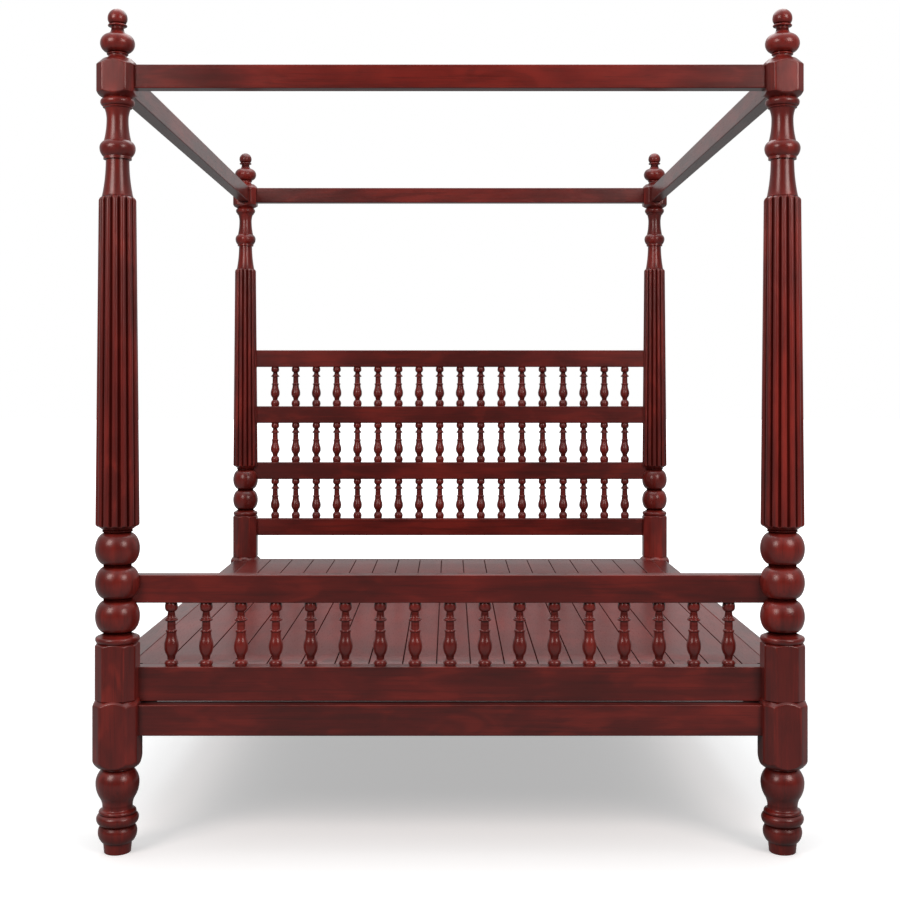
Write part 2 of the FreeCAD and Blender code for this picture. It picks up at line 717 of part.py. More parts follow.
# ------------------------------------------------------------------------------------- the spindles
def make_spindles(name, number, pitch, y, z):
    """A row of turned spindles that stand between two rails."""
    body = new_body(name)
    outline = Profile(S.spindle_foot_radius, ZERO)
    outline.line(S.spindle_bulb_radius, S.spindle_length * 0.07)
    outline.line(S.spindle_neck_radius, S.spindle_length * 0.11)
    outline.line(S.spindle_belly_radius, S.spindle_length * 0.15)
    outline.line(S.spindle_waist_radius, S.spindle_length * 0.12)
    outline.line(S.spindle_stem_radius, S.spindle_length * 0.14)
    outline.line(S.spindle_stem_radius, S.spindle_length * 0.15)
    outline.line(S.spindle_disc_radius, S.spindle_length * 0.02)
    outline.line(S.spindle_collar_radius, S.spindle_length * 0.05)
    outline.line(S.spindle_head_radius, S.spindle_length * 0.12)
    outline.line(S.spindle_foot_radius, S.spindle_length * 0.07)
    turned = revolve(body, "turned_spindle", outline)
    row = body.newObject("PartDesign::LinearPattern", "row")
    row.Originals = [turned]
    axis = next(item for item in body.Origin.OriginFeatures if item.Role == "X_Axis")
    row.Direction = (axis, [""])
    row.setExpression("Length", (pitch * (number - 1)).text)
    row.setExpression("Occurrences", number.text)
    body.Tip = row
    place(body, x=-(pitch * (number - 1)) / 2, y=y, z=z)


# ----------------------------------------------------------------------------------------- the deck
def make_deck():
    """Side ledgers, bearers across and boards along the bed."""
    ledger_x = deck_half + S.board_end_gap - S.ledger_width / 2
    ledger_length = S.post_spacing_length - (lower_half + S.ledger_end_gap) * 2
    for name, sign in (("ledger_left", -1), ("ledger_right", 1)):
        body = make_bar(name, ledger_length, S.ledger_width, S.ledger_height)
        place(body, x=ledger_x * sign, z=ledger_top - S.ledger_height, quarter_turn=True)
    bearer_count = count(S.bearer_count)
    first = -half_length + S.bearer_first_inset
    step = (S.post_spacing_length - S.bearer_first_inset * 2) / (S.bearer_count - 1)
    for number in range(bearer_count):
        length = (deck_half + S.board_end_gap - S.bearer_end_gap) * 2
        body = make_bar(f"bearer_{number + 1}", length, S.bearer_width, S.bearer_height)
        place(body, y=first + step * number, z=ledger_top)
    pitch = S.board_width + S.board_gap
    last = count(S.board_count) - 1
    rail_face = S.footboard_inset + S.footboard_thickness
    board_length = (half_length - rail_face - S.board_end_gap) * 2
    for number in range(last + 1):
        left = -deck_half + pitch * number
        width = S.board_width if number < last else deck_half * 2 - pitch * number
        body = make_bar(f"deck_board_{number + 1:02d}", board_length, width, S.board_thickness)
        if number in (0, last):
            notch_board(body, -1 if number else 1, board_length, left + width / 2, width)
        place(body, x=left + width / 2, z=deck_bottom, quarter_turn=True)


def notch_board(body, side, length, middle, width):
    """Cuts both outer corners of an edge board, so that it passes inside the legs. The board is laid
    with a quarter turn, so its outer edge is at +Y here on the left of the bed and at -Y on the right."""
    reach = half_width - lower_half - S.board_end_gap
    depth = length / 2 - half_length + lower_half + S.board_end_gap
    y = span(side, reach + middle * side, width / 2 + OVERRUN)
    for label, sign in (("a", 1), ("b", -1)):
        x = span(sign, length / 2 - depth, length / 2 + OVERRUN)
        box(body, f"notch_{label}", "Subtractive", (x[0], y[0], -S.edge_ease),
            (x[1], y[1], S.board_thickness * 2))


# ---------------------------------------------------------------------------------------- the bolts
def bolt_shape(side, inward):
    """One bed bolt: round head on the floor of the counterbore, shank through leg and rail."""
    seat = S.lower_block_width.value / 2 - S.counterbore_depth.value
    reach = seat + S.side_seat.value + S.nut_setback.value + S.bolt_past_nut.value
    head = Part.makeCylinder(S.bolt_head_radius.value, S.bolt_head_height.value,
                             FreeCAD.Vector(0, -seat - S.bolt_head_height.value, 0), FreeCAD.Vector(0, 1, 0))
    shank = Part.makeCylinder(S.bolt_radius.value, reach, FreeCAD.Vector(0, -seat, 0),
                              FreeCAD.Vector(0, 1, 0))
    return head.fuse(shank)


def nut_shape(side, inward):
    """One barrel nut: a cross cylinder with the bolt's hole through it."""
    y = S.side_seat.value + S.nut_setback.value
    half = S.nut_length.value / 2
    barrel = Part.makeCylinder(S.nut_radius.value, S.nut_length.value, FreeCAD.Vector(-half, y, 0),
                               FreeCAD.Vector(1, 0, 0))
    hole = Part.makeCylinder(S.bolt_radius.value + S.joint_clearance.value, S.nut_radius.value * 2 + 2,
                             FreeCAD.Vector(0, y - S.nut_radius.value - 1, 0), FreeCAD.Vector(0, 1, 0))
    return barrel.cut(hole)


def plug_shape(side, inward):
    """One wooden plug, flush with the face of the lower block."""
    face = S.lower_block_width.value / 2
    return Part.makeCylinder(S.counterbore_radius.value - S.joint_clearance.value, S.plug_height.value,
                             FreeCAD.Vector(0, -face, 0), FreeCAD.Vector(0, 1, 0))


def make_hardware(name, shape_of):
    """The same small piece at the four corners, as separate solids of one node."""
    solids = []
    for end, side, inward in CORNERS.values():
        shape = shape_of(side, inward)
        if inward < 0:
            shape.rotate(FreeCAD.Vector(), FreeCAD.Vector(0, 0, 1), 180)
        shape.translate(FreeCAD.Vector(-side * side_rail_centre.value, -inward * half_length.value,
                                       S.bolt_height.value))
        solids.append(shape)
    feature = doc.addObject("Part::Feature", name)
    feature.Label = name
    feature.Shape = Part.makeCompound(solids)
    parts.append(feature)


# ---------------------------------------------------------------------------------------- the bed
for corner, (end, side, inward) in CORNERS.items():
    make_leg(corner, end, side, inward)
    make_post(corner, end, side, inward)
    make_finial(corner, side, inward)

make_end_rail("canopy_rail_foot", "foot", "canopy_rail")
make_end_rail("canopy_rail_head", "head", "canopy_rail")
make_canopy_side("canopy_rail_left", 1)
make_canopy_side("canopy_rail_right", -1)
make_end_rail("foot_base_rail", "foot", "base_rail")
make_end_rail("head_base_rail", "head", "base_rail")
make_end_rail("footboard_lower_rail", "foot", "deck_rail")
make_end_rail("head_deck_rail", "head", "deck_rail")
make_end_rail("footboard_top_rail", "foot", "footboard_top_rail")
HEADBOARD_NAMES = ("bottom", "lower_middle", "upper_middle", "top")
for number, position in enumerate(HEADBOARD_NAMES, start=1):
    make_end_rail(f"headboard_{position}_rail", "head", f"headboard_rail_{number}")
make_side_rail("side_rail_left", 1)
make_side_rail("side_rail_right", -1)

make_spindles("footboard_spindles", S.footboard_spindle_count, S.footboard_spindle_pitch,
              S.footboard_inset + S.footboard_thickness / 2 - half_length, S.deck_top)
headboard_y = half_length - S.headboard_inset - S.headboard_thickness / 2
for number, tier in enumerate(("lower", "middle", "upper")):
    z = S.headboard_bottom + S.headboard_rail_height + headboard_module * number
    make_spindles(f"headboard_spindles_{tier}", S.headboard_spindle_count, S.headboard_spindle_pitch,
                  headboard_y, z)
make_deck()
make_hardware("bed_bolts", bolt_shape)
make_hardware("barrel_nuts", nut_shape)
make_hardware("bolt_plugs", plug_shape)

doc.recompute()

# ----------------------------------------------------------------------------------------- checks
faults = []
for item in doc.Objects:
    if "Invalid" in item.State or "Error" in item.State:
        faults.append(f"{item.Name}: {item.State}")
for part in parts:
    shape = part.Shape
    if shape.isNull() or not shape.isValid() or not shape.Solids:
        faults.append(f"{part.Label}: bad shape")
if faults:
    raise RuntimeError("; ".join(faults[:12]))
os.makedirs("parts", exist_ok=True)
for part in parts:
    part.Shape.exportStep(f"parts/{part.Label}.step")
    print(f"{part.Label}: {len(part.Shape.Solids)} solids, {part.Shape.Volume / 1e6:.3f} dm3")
print(f"{len(parts)} nodes")
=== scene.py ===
"""A four-poster spindle bed in dark red-brown turned wood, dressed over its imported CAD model."""

import math

import bpy
from bpy.props import FloatProperty, FloatVectorProperty, IntProperty
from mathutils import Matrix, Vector


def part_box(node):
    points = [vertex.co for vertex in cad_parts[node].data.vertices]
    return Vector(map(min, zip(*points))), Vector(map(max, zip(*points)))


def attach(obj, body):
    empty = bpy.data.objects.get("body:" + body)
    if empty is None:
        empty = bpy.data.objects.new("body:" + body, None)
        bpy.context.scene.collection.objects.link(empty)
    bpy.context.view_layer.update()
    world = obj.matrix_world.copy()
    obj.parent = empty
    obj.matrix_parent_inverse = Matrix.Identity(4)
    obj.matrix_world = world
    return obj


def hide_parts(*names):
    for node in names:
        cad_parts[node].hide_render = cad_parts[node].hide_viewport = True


bl_info = {
    "name": "Spindle bed",
    "version": (1, 0, 0),
    "blender": (4, 5, 0),
    "location": "View3D > Sidebar > Spindle bed",
    "description": "Turned posts, spindled ends, canopy rails and boarded deck of a four-poster bed",
    "category": "Object",
}

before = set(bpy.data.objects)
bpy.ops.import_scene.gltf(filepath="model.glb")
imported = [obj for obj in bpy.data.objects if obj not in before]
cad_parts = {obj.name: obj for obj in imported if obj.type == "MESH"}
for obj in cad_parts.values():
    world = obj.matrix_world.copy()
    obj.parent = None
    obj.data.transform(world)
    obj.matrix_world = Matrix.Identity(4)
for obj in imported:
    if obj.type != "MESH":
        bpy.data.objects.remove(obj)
MM = 0.001
BALL_SWEEP = math.radians(76)
EDGE_STRIP = 1.4 * MM
SHARP_ANGLE = math.radians(38)

# Columns of points round a turning.
LEG_COLUMNS, FINIAL_COLUMNS, SPINDLE_COLUMNS, PLUG_COLUMNS = 112, 72, 32, 40

# Widths of the legs' blocks, and heights at which pieces stand on one another, in millimetres.
LOWER_BLOCK = 110.0
UPPER_BLOCKS = {"foot": 101.0, "head": 94.0}
LEG_TOPS = {"foot": 523.0, "head": 635.0}
SHAFT_HEAD = 1624.0
BLOCK_TOP = 1978.6
FINIAL_FOOT = 1990.0
BED_TOP = 2106.0

# The number of a piece moves its figure, so that no two look alike; these are the first of each kind.
FIGURES = {"legs": 3.0, "posts": 11.0, "finials": 21.0, "canopy across": 31.0, "canopy along": 35.0,
           "rails": 41.0, "side rails": 61.0, "spindles": 70.0, "edge boards": 90.0, "boards": 92.0}
RAIL_FIGURES_APART = 1.7
ROW_FIGURES_APART = 20

# How far the flutes run out past both ends of a shaft, and how far round the first one stands, in flutes.
FLUTE_REACH = 14.4 * MM
FLUTE_PHASES = {"left": 0.777, "right": 0.336}

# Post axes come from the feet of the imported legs.
LEG_LOW, LEG_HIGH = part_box("foot_right_leg")
HALF_WIDTH = (LEG_LOW[0] + LEG_HIGH[0]) / 2
HALF_LENGTH = -(LEG_LOW[1] + LEG_HIGH[1]) / 2
CORNERS = {end + "_" + side: (x * HALF_WIDTH, y * HALF_LENGTH)
           for end, y in (("foot", -1), ("head", 1)) for side, x in (("left", -1), ("right", 1))}


# -------------------- settings
def colour(name, description, default):
    """A colour that a user may change."""
    return FloatVectorProperty(name=name, description=description, default=default + (1.0,), size=4,
                               subtype="COLOR", min=0.0, max=1.0)


def length(name, description, default, low=0.0):
    """A length that a user may change, in metres."""
    return FloatProperty(name=name, description=description, default=default, min=low, unit="LENGTH")


class WoodSettings(bpy.types.PropertyGroup):
    """Colours and gloss of the stained wood."""

    stain: colour("Stain", "Main red-brown of the stained wood", (0.118, 0.0092, 0.0068))
    # dark also paints shade into recesses, flute hollows and deck seams
    dark: colour("Dark figure", "Darkest streaks and the glaze left in recesses", (0.028, 0.0036, 0.0026))
    # bright also paints highlight on rounded edges, together with their rubbed wear
    bright: colour("Bright figure", "Redder patches of the figure and rubbed edges", (0.200, 0.0175, 0.0110))
    bare: colour("Bare wood", "Unstained wood of bearers and ledgers", (0.26, 0.10, 0.055))
    gloss: FloatProperty(
        name="Lacquer weight", description="How much clear lacquer covers the stain", default=0.5,
        min=0.0, max=1.0, subtype="FACTOR")


class FluteSettings(bpy.types.PropertyGroup):
    """Fluting of the post shafts."""

    count: IntProperty(name="Flutes", description="Flutes round a post", default=14, min=3, max=40)
    share: FloatProperty(
        name="Flute share", description="Half width of a flute as a share of the pitch", default=0.20,
        min=0.02, max=0.35)
    depth: length("Flute depth", "Depth of a flute", 6.4 * MM)
    crown: length("Ridge crown", "Rounding of the ridge between two flutes", 2.6 * MM)


class SpindleSettings(bpy.types.PropertyGroup):
    """Rows of small turned spindles."""

    foot_count: IntProperty(name="Footboard spindles", description="Spindles in the footboard",
                            default=17, min=1)
    foot_pitch: length("Footboard pitch", "Middle to middle in the footboard", 87.7 * MM, 0.01)
    head_count: IntProperty(name="Headboard spindles", description="Spindles in each headboard tier",
                            default=18, min=1)
    head_pitch: length("Headboard pitch", "Middle to middle in the headboard", 83.8 * MM, 0.01)


class StudioSettings(bpy.types.PropertyGroup):
    """Camera and light."""

    camera_height: length("Camera height", "Height of the lens above the floor", 1.1675, 0.1)
    camera_distance: length("Camera distance", "Lens to the middle of the bed", 4.405, 1.0)
    lens: FloatProperty(name="Lens", description="Focal length on a 36 mm wide picture", default=53.68,
                        min=10.0)
    horizon: FloatProperty(name="Vertical shift", description="Rise of the picture over the lens axis",
                           default=-0.0730, min=-0.5, max=0.5)
    sky: FloatProperty(name="Room light", description="Strength of the even light all round",
                       default=0.62, min=0.0)


# -------------------- mesh making
class Turning:
    """Half outline of a turned piece, drawn upwards in millimetres as rings of radius and height."""

    def __init__(self, radius, height):
        self.rings = [(radius, height)]
        self.scale = 1.0

    def slimmed(self, scale):
        """Draws the radii of all that follows at this scale."""
        self.scale = scale
        return self

    def to(self, radius, rise, steps=1):
        """A straight run."""
        start, low = self.rings[-1]
        out = radius * self.scale - start
        for step in range(1, steps + 1):
            self.rings.append((start + out * step / steps, low + rise * step / steps))
        return self

    def swell(self, radius, rise, steps=8, sweep=None):
        """An arc that ends upright, at its widest or narrowest; with a sweep, of an ellipse."""
        start, low = self.rings[-1]
        radius *= self.scale
        wide, tall, sweep = self.arc(radius - start, rise, sweep)
        for step in range(1, steps + 1):
            turn = sweep * (1 - step / steps)
            self.rings.append((radius - wide * (1 - math.cos(turn)), low + rise - tall * math.sin(turn)))
        return self

    def close(self, radius, rise, steps=8, sweep=None):
        """An arc that starts upright, from its widest or narrowest."""
        start, low = self.rings[-1]
        wide, tall, sweep = self.arc(radius * self.scale - start, rise, sweep)
        for step in range(1, steps + 1):
            turn = sweep * step / steps
            self.rings.append((start + wide * (1 - math.cos(turn)), low + tall * math.sin(turn)))
        return self

    @staticmethod
    def arc(out, rise, sweep):
        """Half axes and sweep of an arc that leaves the upright and moves out over a rise."""
        if sweep is None:
            bend = (out * out + rise * rise) / (2 * abs(out))
            return math.copysign(bend, out), bend, math.atan2(rise, bend - abs(out))
        return out / (1 - math.cos(sweep)), rise / math.sin(sweep), sweep

    def bead(self, widest, rise, end, fall, steps=8, sweep=None):
        """Out to the widest and on to the end radius."""
        return self.swell(widest, rise, steps, sweep).close(end, fall, steps, sweep)


def even_angles(count):
    return [2 * math.pi * number / count for number in range(count)]


def flute_angles(flutes, share):
    """Columns that lie close together where a ridge turns into a flute."""
    half = [share * part for part in (0.0, 0.35, 0.65, 0.87, 1.0, 1.15, 1.45, 1.9, 2.4)]
    places = half + [0.5] + [1.0 - place for place in reversed(half[1:])]
    return [2 * math.pi * (number + place) / flutes for number in range(flutes) for place in places]


def snap(angles, corners):
    """Moves the nearest column on to each corner of a block."""
    moved = list(angles)
    for corner in corners:
        nearest = min(range(len(angles)),
                      key=lambda number: abs(math.remainder(angles[number] - corner, 2 * math.pi)))
        moved[nearest] = corner
    return moved


class Shoulder:
    """The turned end of a block: a radius at the very end that widens over a rise to the full reach."""

    def __init__(self, end, rise, reach, rounded=False):
        self.end, self.rise, self.reach, self.rounded = end, rise, reach, rounded

    def radius(self, inset):
        inset = max(inset, 0.0)
        if inset >= self.rise:
            return math.inf
        if not self.rounded:
            return self.end + (self.reach - self.end) * inset / self.rise
        out = self.reach - self.end
        bend = (out * out + self.rise * self.rise) / (2 * out)
        return self.reach - bend + math.sqrt(bend * bend - (self.rise - inset) ** 2)


class Block:
    """A bevelled square block, turned down by a shoulder at its foot, at its head or at both."""

    # how sharply faces meet, what the softening takes off an edge, and how close shoulder rings lie
    SOFTNESS = 150.0
    EDGE_LOSS = 0.27
    RING_STEP = 1.6

    def __init__(self, width, bevel, low, high, foot=None, head=None):
        self.half = width / 2
        self.slant = (width - bevel) / math.sqrt(2)
        self.low, self.high = low, high
        self.foot, self.head = foot, head
        turn = math.atan2(self.half - bevel, self.half)
        self.corners = [quarter * math.pi / 2 + side * turn for quarter in range(4) for side in (-1, 1)]

    def radius(self, angle, height):
        """Radius and how near the point lies to an edge, from 0 to 1, which paints the edge brighter as
        rubbed wear and painted highlight.
        """
        slanted = angle - math.pi / 4
        pulls = [abs(math.cos(angle)) / self.half, abs(math.sin(angle)) / self.half,
                 abs(math.cos(slanted)) / self.slant, abs(math.sin(slanted)) / self.slant]
        if self.foot:
            pulls.append(1 / self.foot.radius(height - self.low))
        if self.head:
            pulls.append(1 / self.head.radius(self.high - height))
        most = max(pulls)
        soft = most * sum((pull / most) ** self.SOFTNESS for pull in pulls) ** (1 / self.SOFTNESS)
        return 1 / soft, min(1.0, (1 / most - 1 / soft) / self.EDGE_LOSS)

    def heights(self):
        """Rings close together in a shoulder, and wide apart between the shoulders."""
        foot, head = (shoulder.rise if shoulder else 0.0 for shoulder in (self.foot, self.head))
        levels = [self.low]
        for rise, spacing in ((foot, self.RING_STEP), (self.high - self.low - foot - head, math.inf),
                              (head, self.RING_STEP)):
            start, steps = levels[-1], max(6, int(rise / spacing))
            if rise:
                levels += [start + rise * step / steps for step in range(1, steps + 1)]
        return levels


def recess_shade(rings, index):
    """Below 0 where the turning is narrower than what lies just above and below it: painted shade in its
    recesses.
    """
    radius, height = rings[index]
    deepest = 0.0
    # how far to look up and down, and the depth that shades fully, for wide and for fine members
    for window, full in ((14.0, 9.0), (4.5, 3.2)):
        below = max([r for r, z in rings if height - window <= z <= height], default=radius)
        above = max([r for r, z in rings if height <= z <= height + window], default=radius)
        deepest = max(deepest, (min(below, above) - radius) / full)
    return -min(1.0, deepest)


def lathe(name, parts, angles, axis, piece=0.0):
    """One closed shell from turnings and blocks stacked along an upright axis, given in metres."""
    rows = []
    for part in parts:
        if isinstance(part, Block):
            columns = snap(angles, part.corners)
            for height in part.heights():
                rows.append((height, [(angle,) + part.radius(angle, height) for angle in columns]))
        else:
            for index, (radius, height) in enumerate(part.rings):
                shade = recess_shade(part.rings, index)
                rows.append((height, [(angle, radius, shade) for angle in angles]))
    count = len(angles)
    points = [(axis[0] + radius * MM * math.cos(angle), axis[1] + radius * MM * math.sin(angle),
               height * MM, shade) for height, row in rows for angle, radius, shade in row]
    faces = skin(len(rows), count)
    for level, flip in ((0, True), (len(rows) - 1, False)):
        centre = len(points)
        points.append((axis[0], axis[1], rows[level][0] * MM, 0.0))
        for number in range(count):
            a, b = level * count + number, level * count + (number + 1) % count
            faces.append((b, a, centre) if flip else (a, b, centre))
    return make_mesh(name, points, faces, piece)


def skin(levels, count, flip=False, first=0):
    """Side faces of a piece whose rings of points follow one another."""
    faces = []
    for level in range(levels - 1):
        start = first + level * count
        for number in range(count):
            a, b = start + number, start + (number + 1) % count
            face = (a, b, b + count, a + count)
            faces.append(face[::-1] if flip else face)
    return faces


def lids(levels, count, flip=False, first=0):
    """End faces over the first and the last ring."""
    low = tuple(range(first, first + count))
    high = tuple(corner + (levels - 1) * count for corner in low)
    return [low, high[::-1]] if flip else [low[::-1], high]


def new_object(name, data):
    """A new object at the origin of the scene."""
    obj = bpy.data.objects.new(name, data)
    bpy.context.scene.collection.objects.link(obj)
    return obj


def discard(obj):
    """Takes away an object that has served, and its mesh where nothing else uses it."""
    mesh = obj.data
    bpy.data.objects.remove(obj)
    if mesh.users == 0:
        bpy.data.meshes.remove(mesh)


def make_mesh(name, points, faces, piece):
    """A smooth mesh of points with a shade; piece is one number, or a list of one for each point."""
    mesh = bpy.data.meshes.new(name)
    mesh.from_pydata([point[:3] for point in points], [], faces)
    pieces = piece if isinstance(piece, list) else [piece] * len(points)
    for title, values in (("shade", [point[3] for point in points]), ("piece", pieces)):
        mesh.attributes.new(title, "FLOAT", "POINT").data.foreach_set("value", values)
    mesh.validate()
    mesh.update()
    mesh.polygons.foreach_set("use_smooth", [True] * len(mesh.polygons))
    mesh.set_sharp_from_angle(angle=SHARP_ANGLE)
    return new_object(name, mesh)


def bar(name, low, high, along, piece):
    """A planed bar with rounded long edges between two corners, given in metres."""
    ease, pinch, spacing = 2.5 * MM, 0.8 * MM, 120.0 * MM
    axes = [axis for axis in range(3) if axis != along]
    middle = [(low[axis] + high[axis]) / 2 for axis in axes]
    half = [(high[axis] - low[axis]) / 2 - ease for axis in axes]
    outline = []
    for quarter, (right, up) in enumerate(((1, 1), (-1, 1), (-1, -1), (1, -1))):
        corner = (middle[0] + right * half[0], middle[1] + up * half[1])
        # a point on each flat beside the rounded edge keeps the flats shaded flat
        # the rounded edges get a shade above 0, which paints them brighter: rubbed wear and painted highlight
        for third, aside, shade in ((0, -EDGE_STRIP, 0.0), (0, 0.0, 0.35), (1, 0.0, 1.0), (2, 0.0, 1.0),
                                    (3, 0.0, 0.35), (3, EDGE_STRIP, 0.0)):
            turn = math.pi / 2 * quarter + math.pi / 6 * third
            outline.append((corner[0] + ease * math.cos(turn) - aside * math.sin(turn),
                            corner[1] + ease * math.sin(turn) + aside * math.cos(turn), shade))
    start, end = low[along], high[along]
    sections = max(2, int((end - start) / spacing))
    stations = [(start, pinch), (start + pinch, 0.0)]
    stations += [(start + (end - start) * step / sections, 0.0) for step in range(1, sections)]
    stations += [(end - pinch, 0.0), (end, pinch)]
    points = []
    for station, drawn_in in stations:
        for u, v, shade in outline:
            point = [0.0, 0.0, 0.0, shade]
            point[along] = station
            point[axes[0]] = u - math.copysign(drawn_in, u - middle[0])
            point[axes[1]] = v - math.copysign(drawn_in, v - middle[1])
            points.append(point)
    shell = (len(stations), len(outline), along == 1)
    return make_mesh(name, points, skin(*shell) + lids(*shell), piece)


def plank(name, low, high, piece=0.0, outer=0, notches=((0.0, 0.0), (0.0, 0.0))):
    """A deck board along Y with lapped edges; an edge board (outer -1 or 1) is notched at both ends."""
    edge, lap, level = 1.0 * MM, 0.85 * MM, 9.0 * MM
    pinch, pinch_run, notch_run = 0.6 * MM, 0.8 * MM, 0.1 * MM
    top, under = high[2], low[2]
    # the eased top edges and the sides down into the lap get a shade below 0: painted shade at the seams
    profile = ((1, -edge - EDGE_STRIP, top, 0.0), (1, -edge, top, -0.2),
               (1, -0.3 * edge, top - 0.3 * edge, -0.9), (1, 0.0, top - edge, -1.0),
               (1, 0.0, top - level, -1.0), (1, lap, top - level, 0.0), (1, lap, under + edge, 0.0),
               (1, lap - edge, under, 0.0))
    profile += tuple((-side, -out, height, shade) for side, out, height, shade in reversed(profile))
    run = high[1] - low[1]
    stations = [(low[1] + run * step / 16, 0.0, 0.0) for step in range(1, 16)]
    (near_cut, near_depth), (far_cut, far_depth) = notches
    if outer:
        near, far = low[1] + near_depth, high[1] - far_depth
        stations = [(near - notch_run, near_cut, 0.0), (near, 0.0, 0.0)] + stations
        stations += [(far, 0.0, 0.0), (far + notch_run, far_cut, 0.0)]
    stations = [(low[1], near_cut, pinch), (low[1] + pinch_run, near_cut, 0.0)] + stations
    stations += [(high[1] - pinch_run, far_cut, 0.0), (high[1], far_cut, pinch)]
    points = []
    for y, cut, drawn_in in stations:
        for side, out, height, shade in profile:
            x = high[0] if side > 0 else low[0]
            x += side * (min(out * side, 0.0) - cut) if side == outer else out
            points.append((x, y, height + (drawn_in if height < (top + under) / 2 else -drawn_in), shade))
    shell = (len(stations), len(profile))
    return make_mesh(name, points, skin(*shell) + lids(*shell), piece)


# -------------------- geometry nodes
def by_identifier(sockets):
    return {socket.identifier: socket for socket in sockets}


class Tree:
    """Short calls for building a node tree."""

    def __init__(self, tree):
        self.tree = tree

    def add(self, kind, inputs=None, **settings):
        node = self.tree.nodes.new(kind)
        for name, value in settings.items():
            setattr(node, name, value)
        for key, value in (inputs or {}).items():
            self.put(value, node.inputs[key])
        return node

    def put(self, value, socket):
        """Links a socket, or a node's first output, or else sets the plain value."""
        if isinstance(value, bpy.types.Node):
            value = value.outputs[0]
        if isinstance(value, bpy.types.NodeSocket):
            self.tree.links.new(value, socket)
        else:
            socket.default_value = value

    def math(self, operation, *values, clamp=False):
        node = self.add("ShaderNodeMath", dict(enumerate(values)), operation=operation, use_clamp=clamp)
        return node.outputs[0]

    def times(self, first, last, clamp=False):
        return self.math("MULTIPLY", first, last, clamp=clamp)

    def plus(self, first, last):
        return self.math("ADD", first, last)

    def minus(self, first, last):
        return self.math("SUBTRACT", first, last)

    def mix(self, factor, low, high, kind="RGBA", blend="MIX"):
        node = self.add("ShaderNodeMix", data_type=kind, blend_type=blend)
        ending = "Color" if kind == "RGBA" else "Float"
        sockets = by_identifier(node.inputs)
        for value, key in ((factor, "Factor_Float"), (low, "A_" + ending), (high, "B_" + ending)):
            self.put(value, sockets[key])
        return by_identifier(node.outputs)["Result_" + ending]

    def span(self, value, low, high, bottom=0.0, top=1.0, curve="LINEAR"):
        """The value's way from low to high, as a way from bottom to top."""
        return self.add("ShaderNodeMapRange", {
            "Value": value, "From Min": low, "From Max": high, "To Min": bottom, "To Max": top},
            interpolation_type=curve).outputs["Result"]

    def own_place(self):
        """Where a point lies, in metres from the bed's origin."""
        return self.add("ShaderNodeTexCoord").outputs["Object"]

    def noise(self, place, scale, detail, rough=0.5, distortion=0.0):
        """Noise with so many waves a metre along each axis."""
        stretched = self.add("ShaderNodeMapping", {"Vector": place, "Scale": scale})
        return self.add("ShaderNodeTexNoise", {
            "Vector": stretched, "Scale": 1.0, "Detail": detail, "Roughness": rough,
            "Distortion": distortion}).outputs["Fac"]

    def surface(self, shader, kind="ShaderNodeOutputMaterial"):
        self.add(kind, {"Surface": shader})


def blank_tree(owner):
    """The emptied node tree of a material or of the world."""
    owner.use_nodes = True
    owner.node_tree.nodes.clear()
    return Tree(owner.node_tree)


def new_group(name, inputs, outputs=(("Geometry", "Geometry"),), kind="GeometryNodeTree"):
    """A node group whose sockets have a name and a kind."""
    group = bpy.data.node_groups.new(name, kind)
    for way, sockets in (("OUTPUT", outputs), ("INPUT", inputs)):
        for title, type_name in sockets:
            group.interface.new_socket(name=title, in_out=way, socket_type="NodeSocket" + type_name)
    start = group.nodes.new("NodeGroupInput")
    end = group.nodes.new("NodeGroupOutput")
    return Tree(group), start.outputs, end.inputs


def end_tree(tree, end, shape, material):
    """Ends a geometry tree in real geometry with its finish."""
    solid = tree.add("GeometryNodeRealizeInstances", {"Geometry": shape})
    finish = tree.add("GeometryNodeSetMaterial", {"Geometry": solid, "Material": material})
    tree.put(finish, end["Geometry"])
    return tree.tree


def row_tree():
    """Stands copies of one piece in a straight row, each turned a little by a fixed seed."""
    tree, inputs, end = new_group("Row of like pieces", (
        ("Piece", "Object"), ("Count", "Int"), ("First", "Vector"), ("Step", "Vector"), ("Turn", "Float"),
        ("Seed", "Int"), ("First number", "Float"), ("Finish", "Material")))
    line = tree.add("GeometryNodeMeshLine", {"Count": inputs["Count"], "Start Location": inputs["First"],
                                             "Offset": inputs["Step"]}, mode="OFFSET")
    piece = tree.add("GeometryNodeObjectInfo", {"Object": inputs["Piece"], "As Instance": True})
    spin = tree.add("FunctionNodeRandomValue", data_type="FLOAT")
    sockets = by_identifier(spin.inputs)
    tree.put(tree.times(inputs["Turn"], -1.0), sockets["Min_001"])
    tree.put(inputs["Turn"], sockets["Max_001"])
    tree.put(inputs["Seed"], sockets["Seed"])
    turn = tree.add("ShaderNodeCombineXYZ", {"Z": spin.outputs[1]})
    placed = tree.add("GeometryNodeInstanceOnPoints", {
        "Points": line, "Instance": piece.outputs["Geometry"], "Rotation": turn})
    index = tree.add("GeometryNodeInputIndex")
    numbered = tree.add("GeometryNodeStoreNamedAttribute", {
        "Geometry": placed, "Name": "piece", "Value": tree.plus(index, inputs["First number"])},
        data_type="FLOAT", domain="INSTANCE")
    return end_tree(tree, end, numbered, inputs["Finish"])


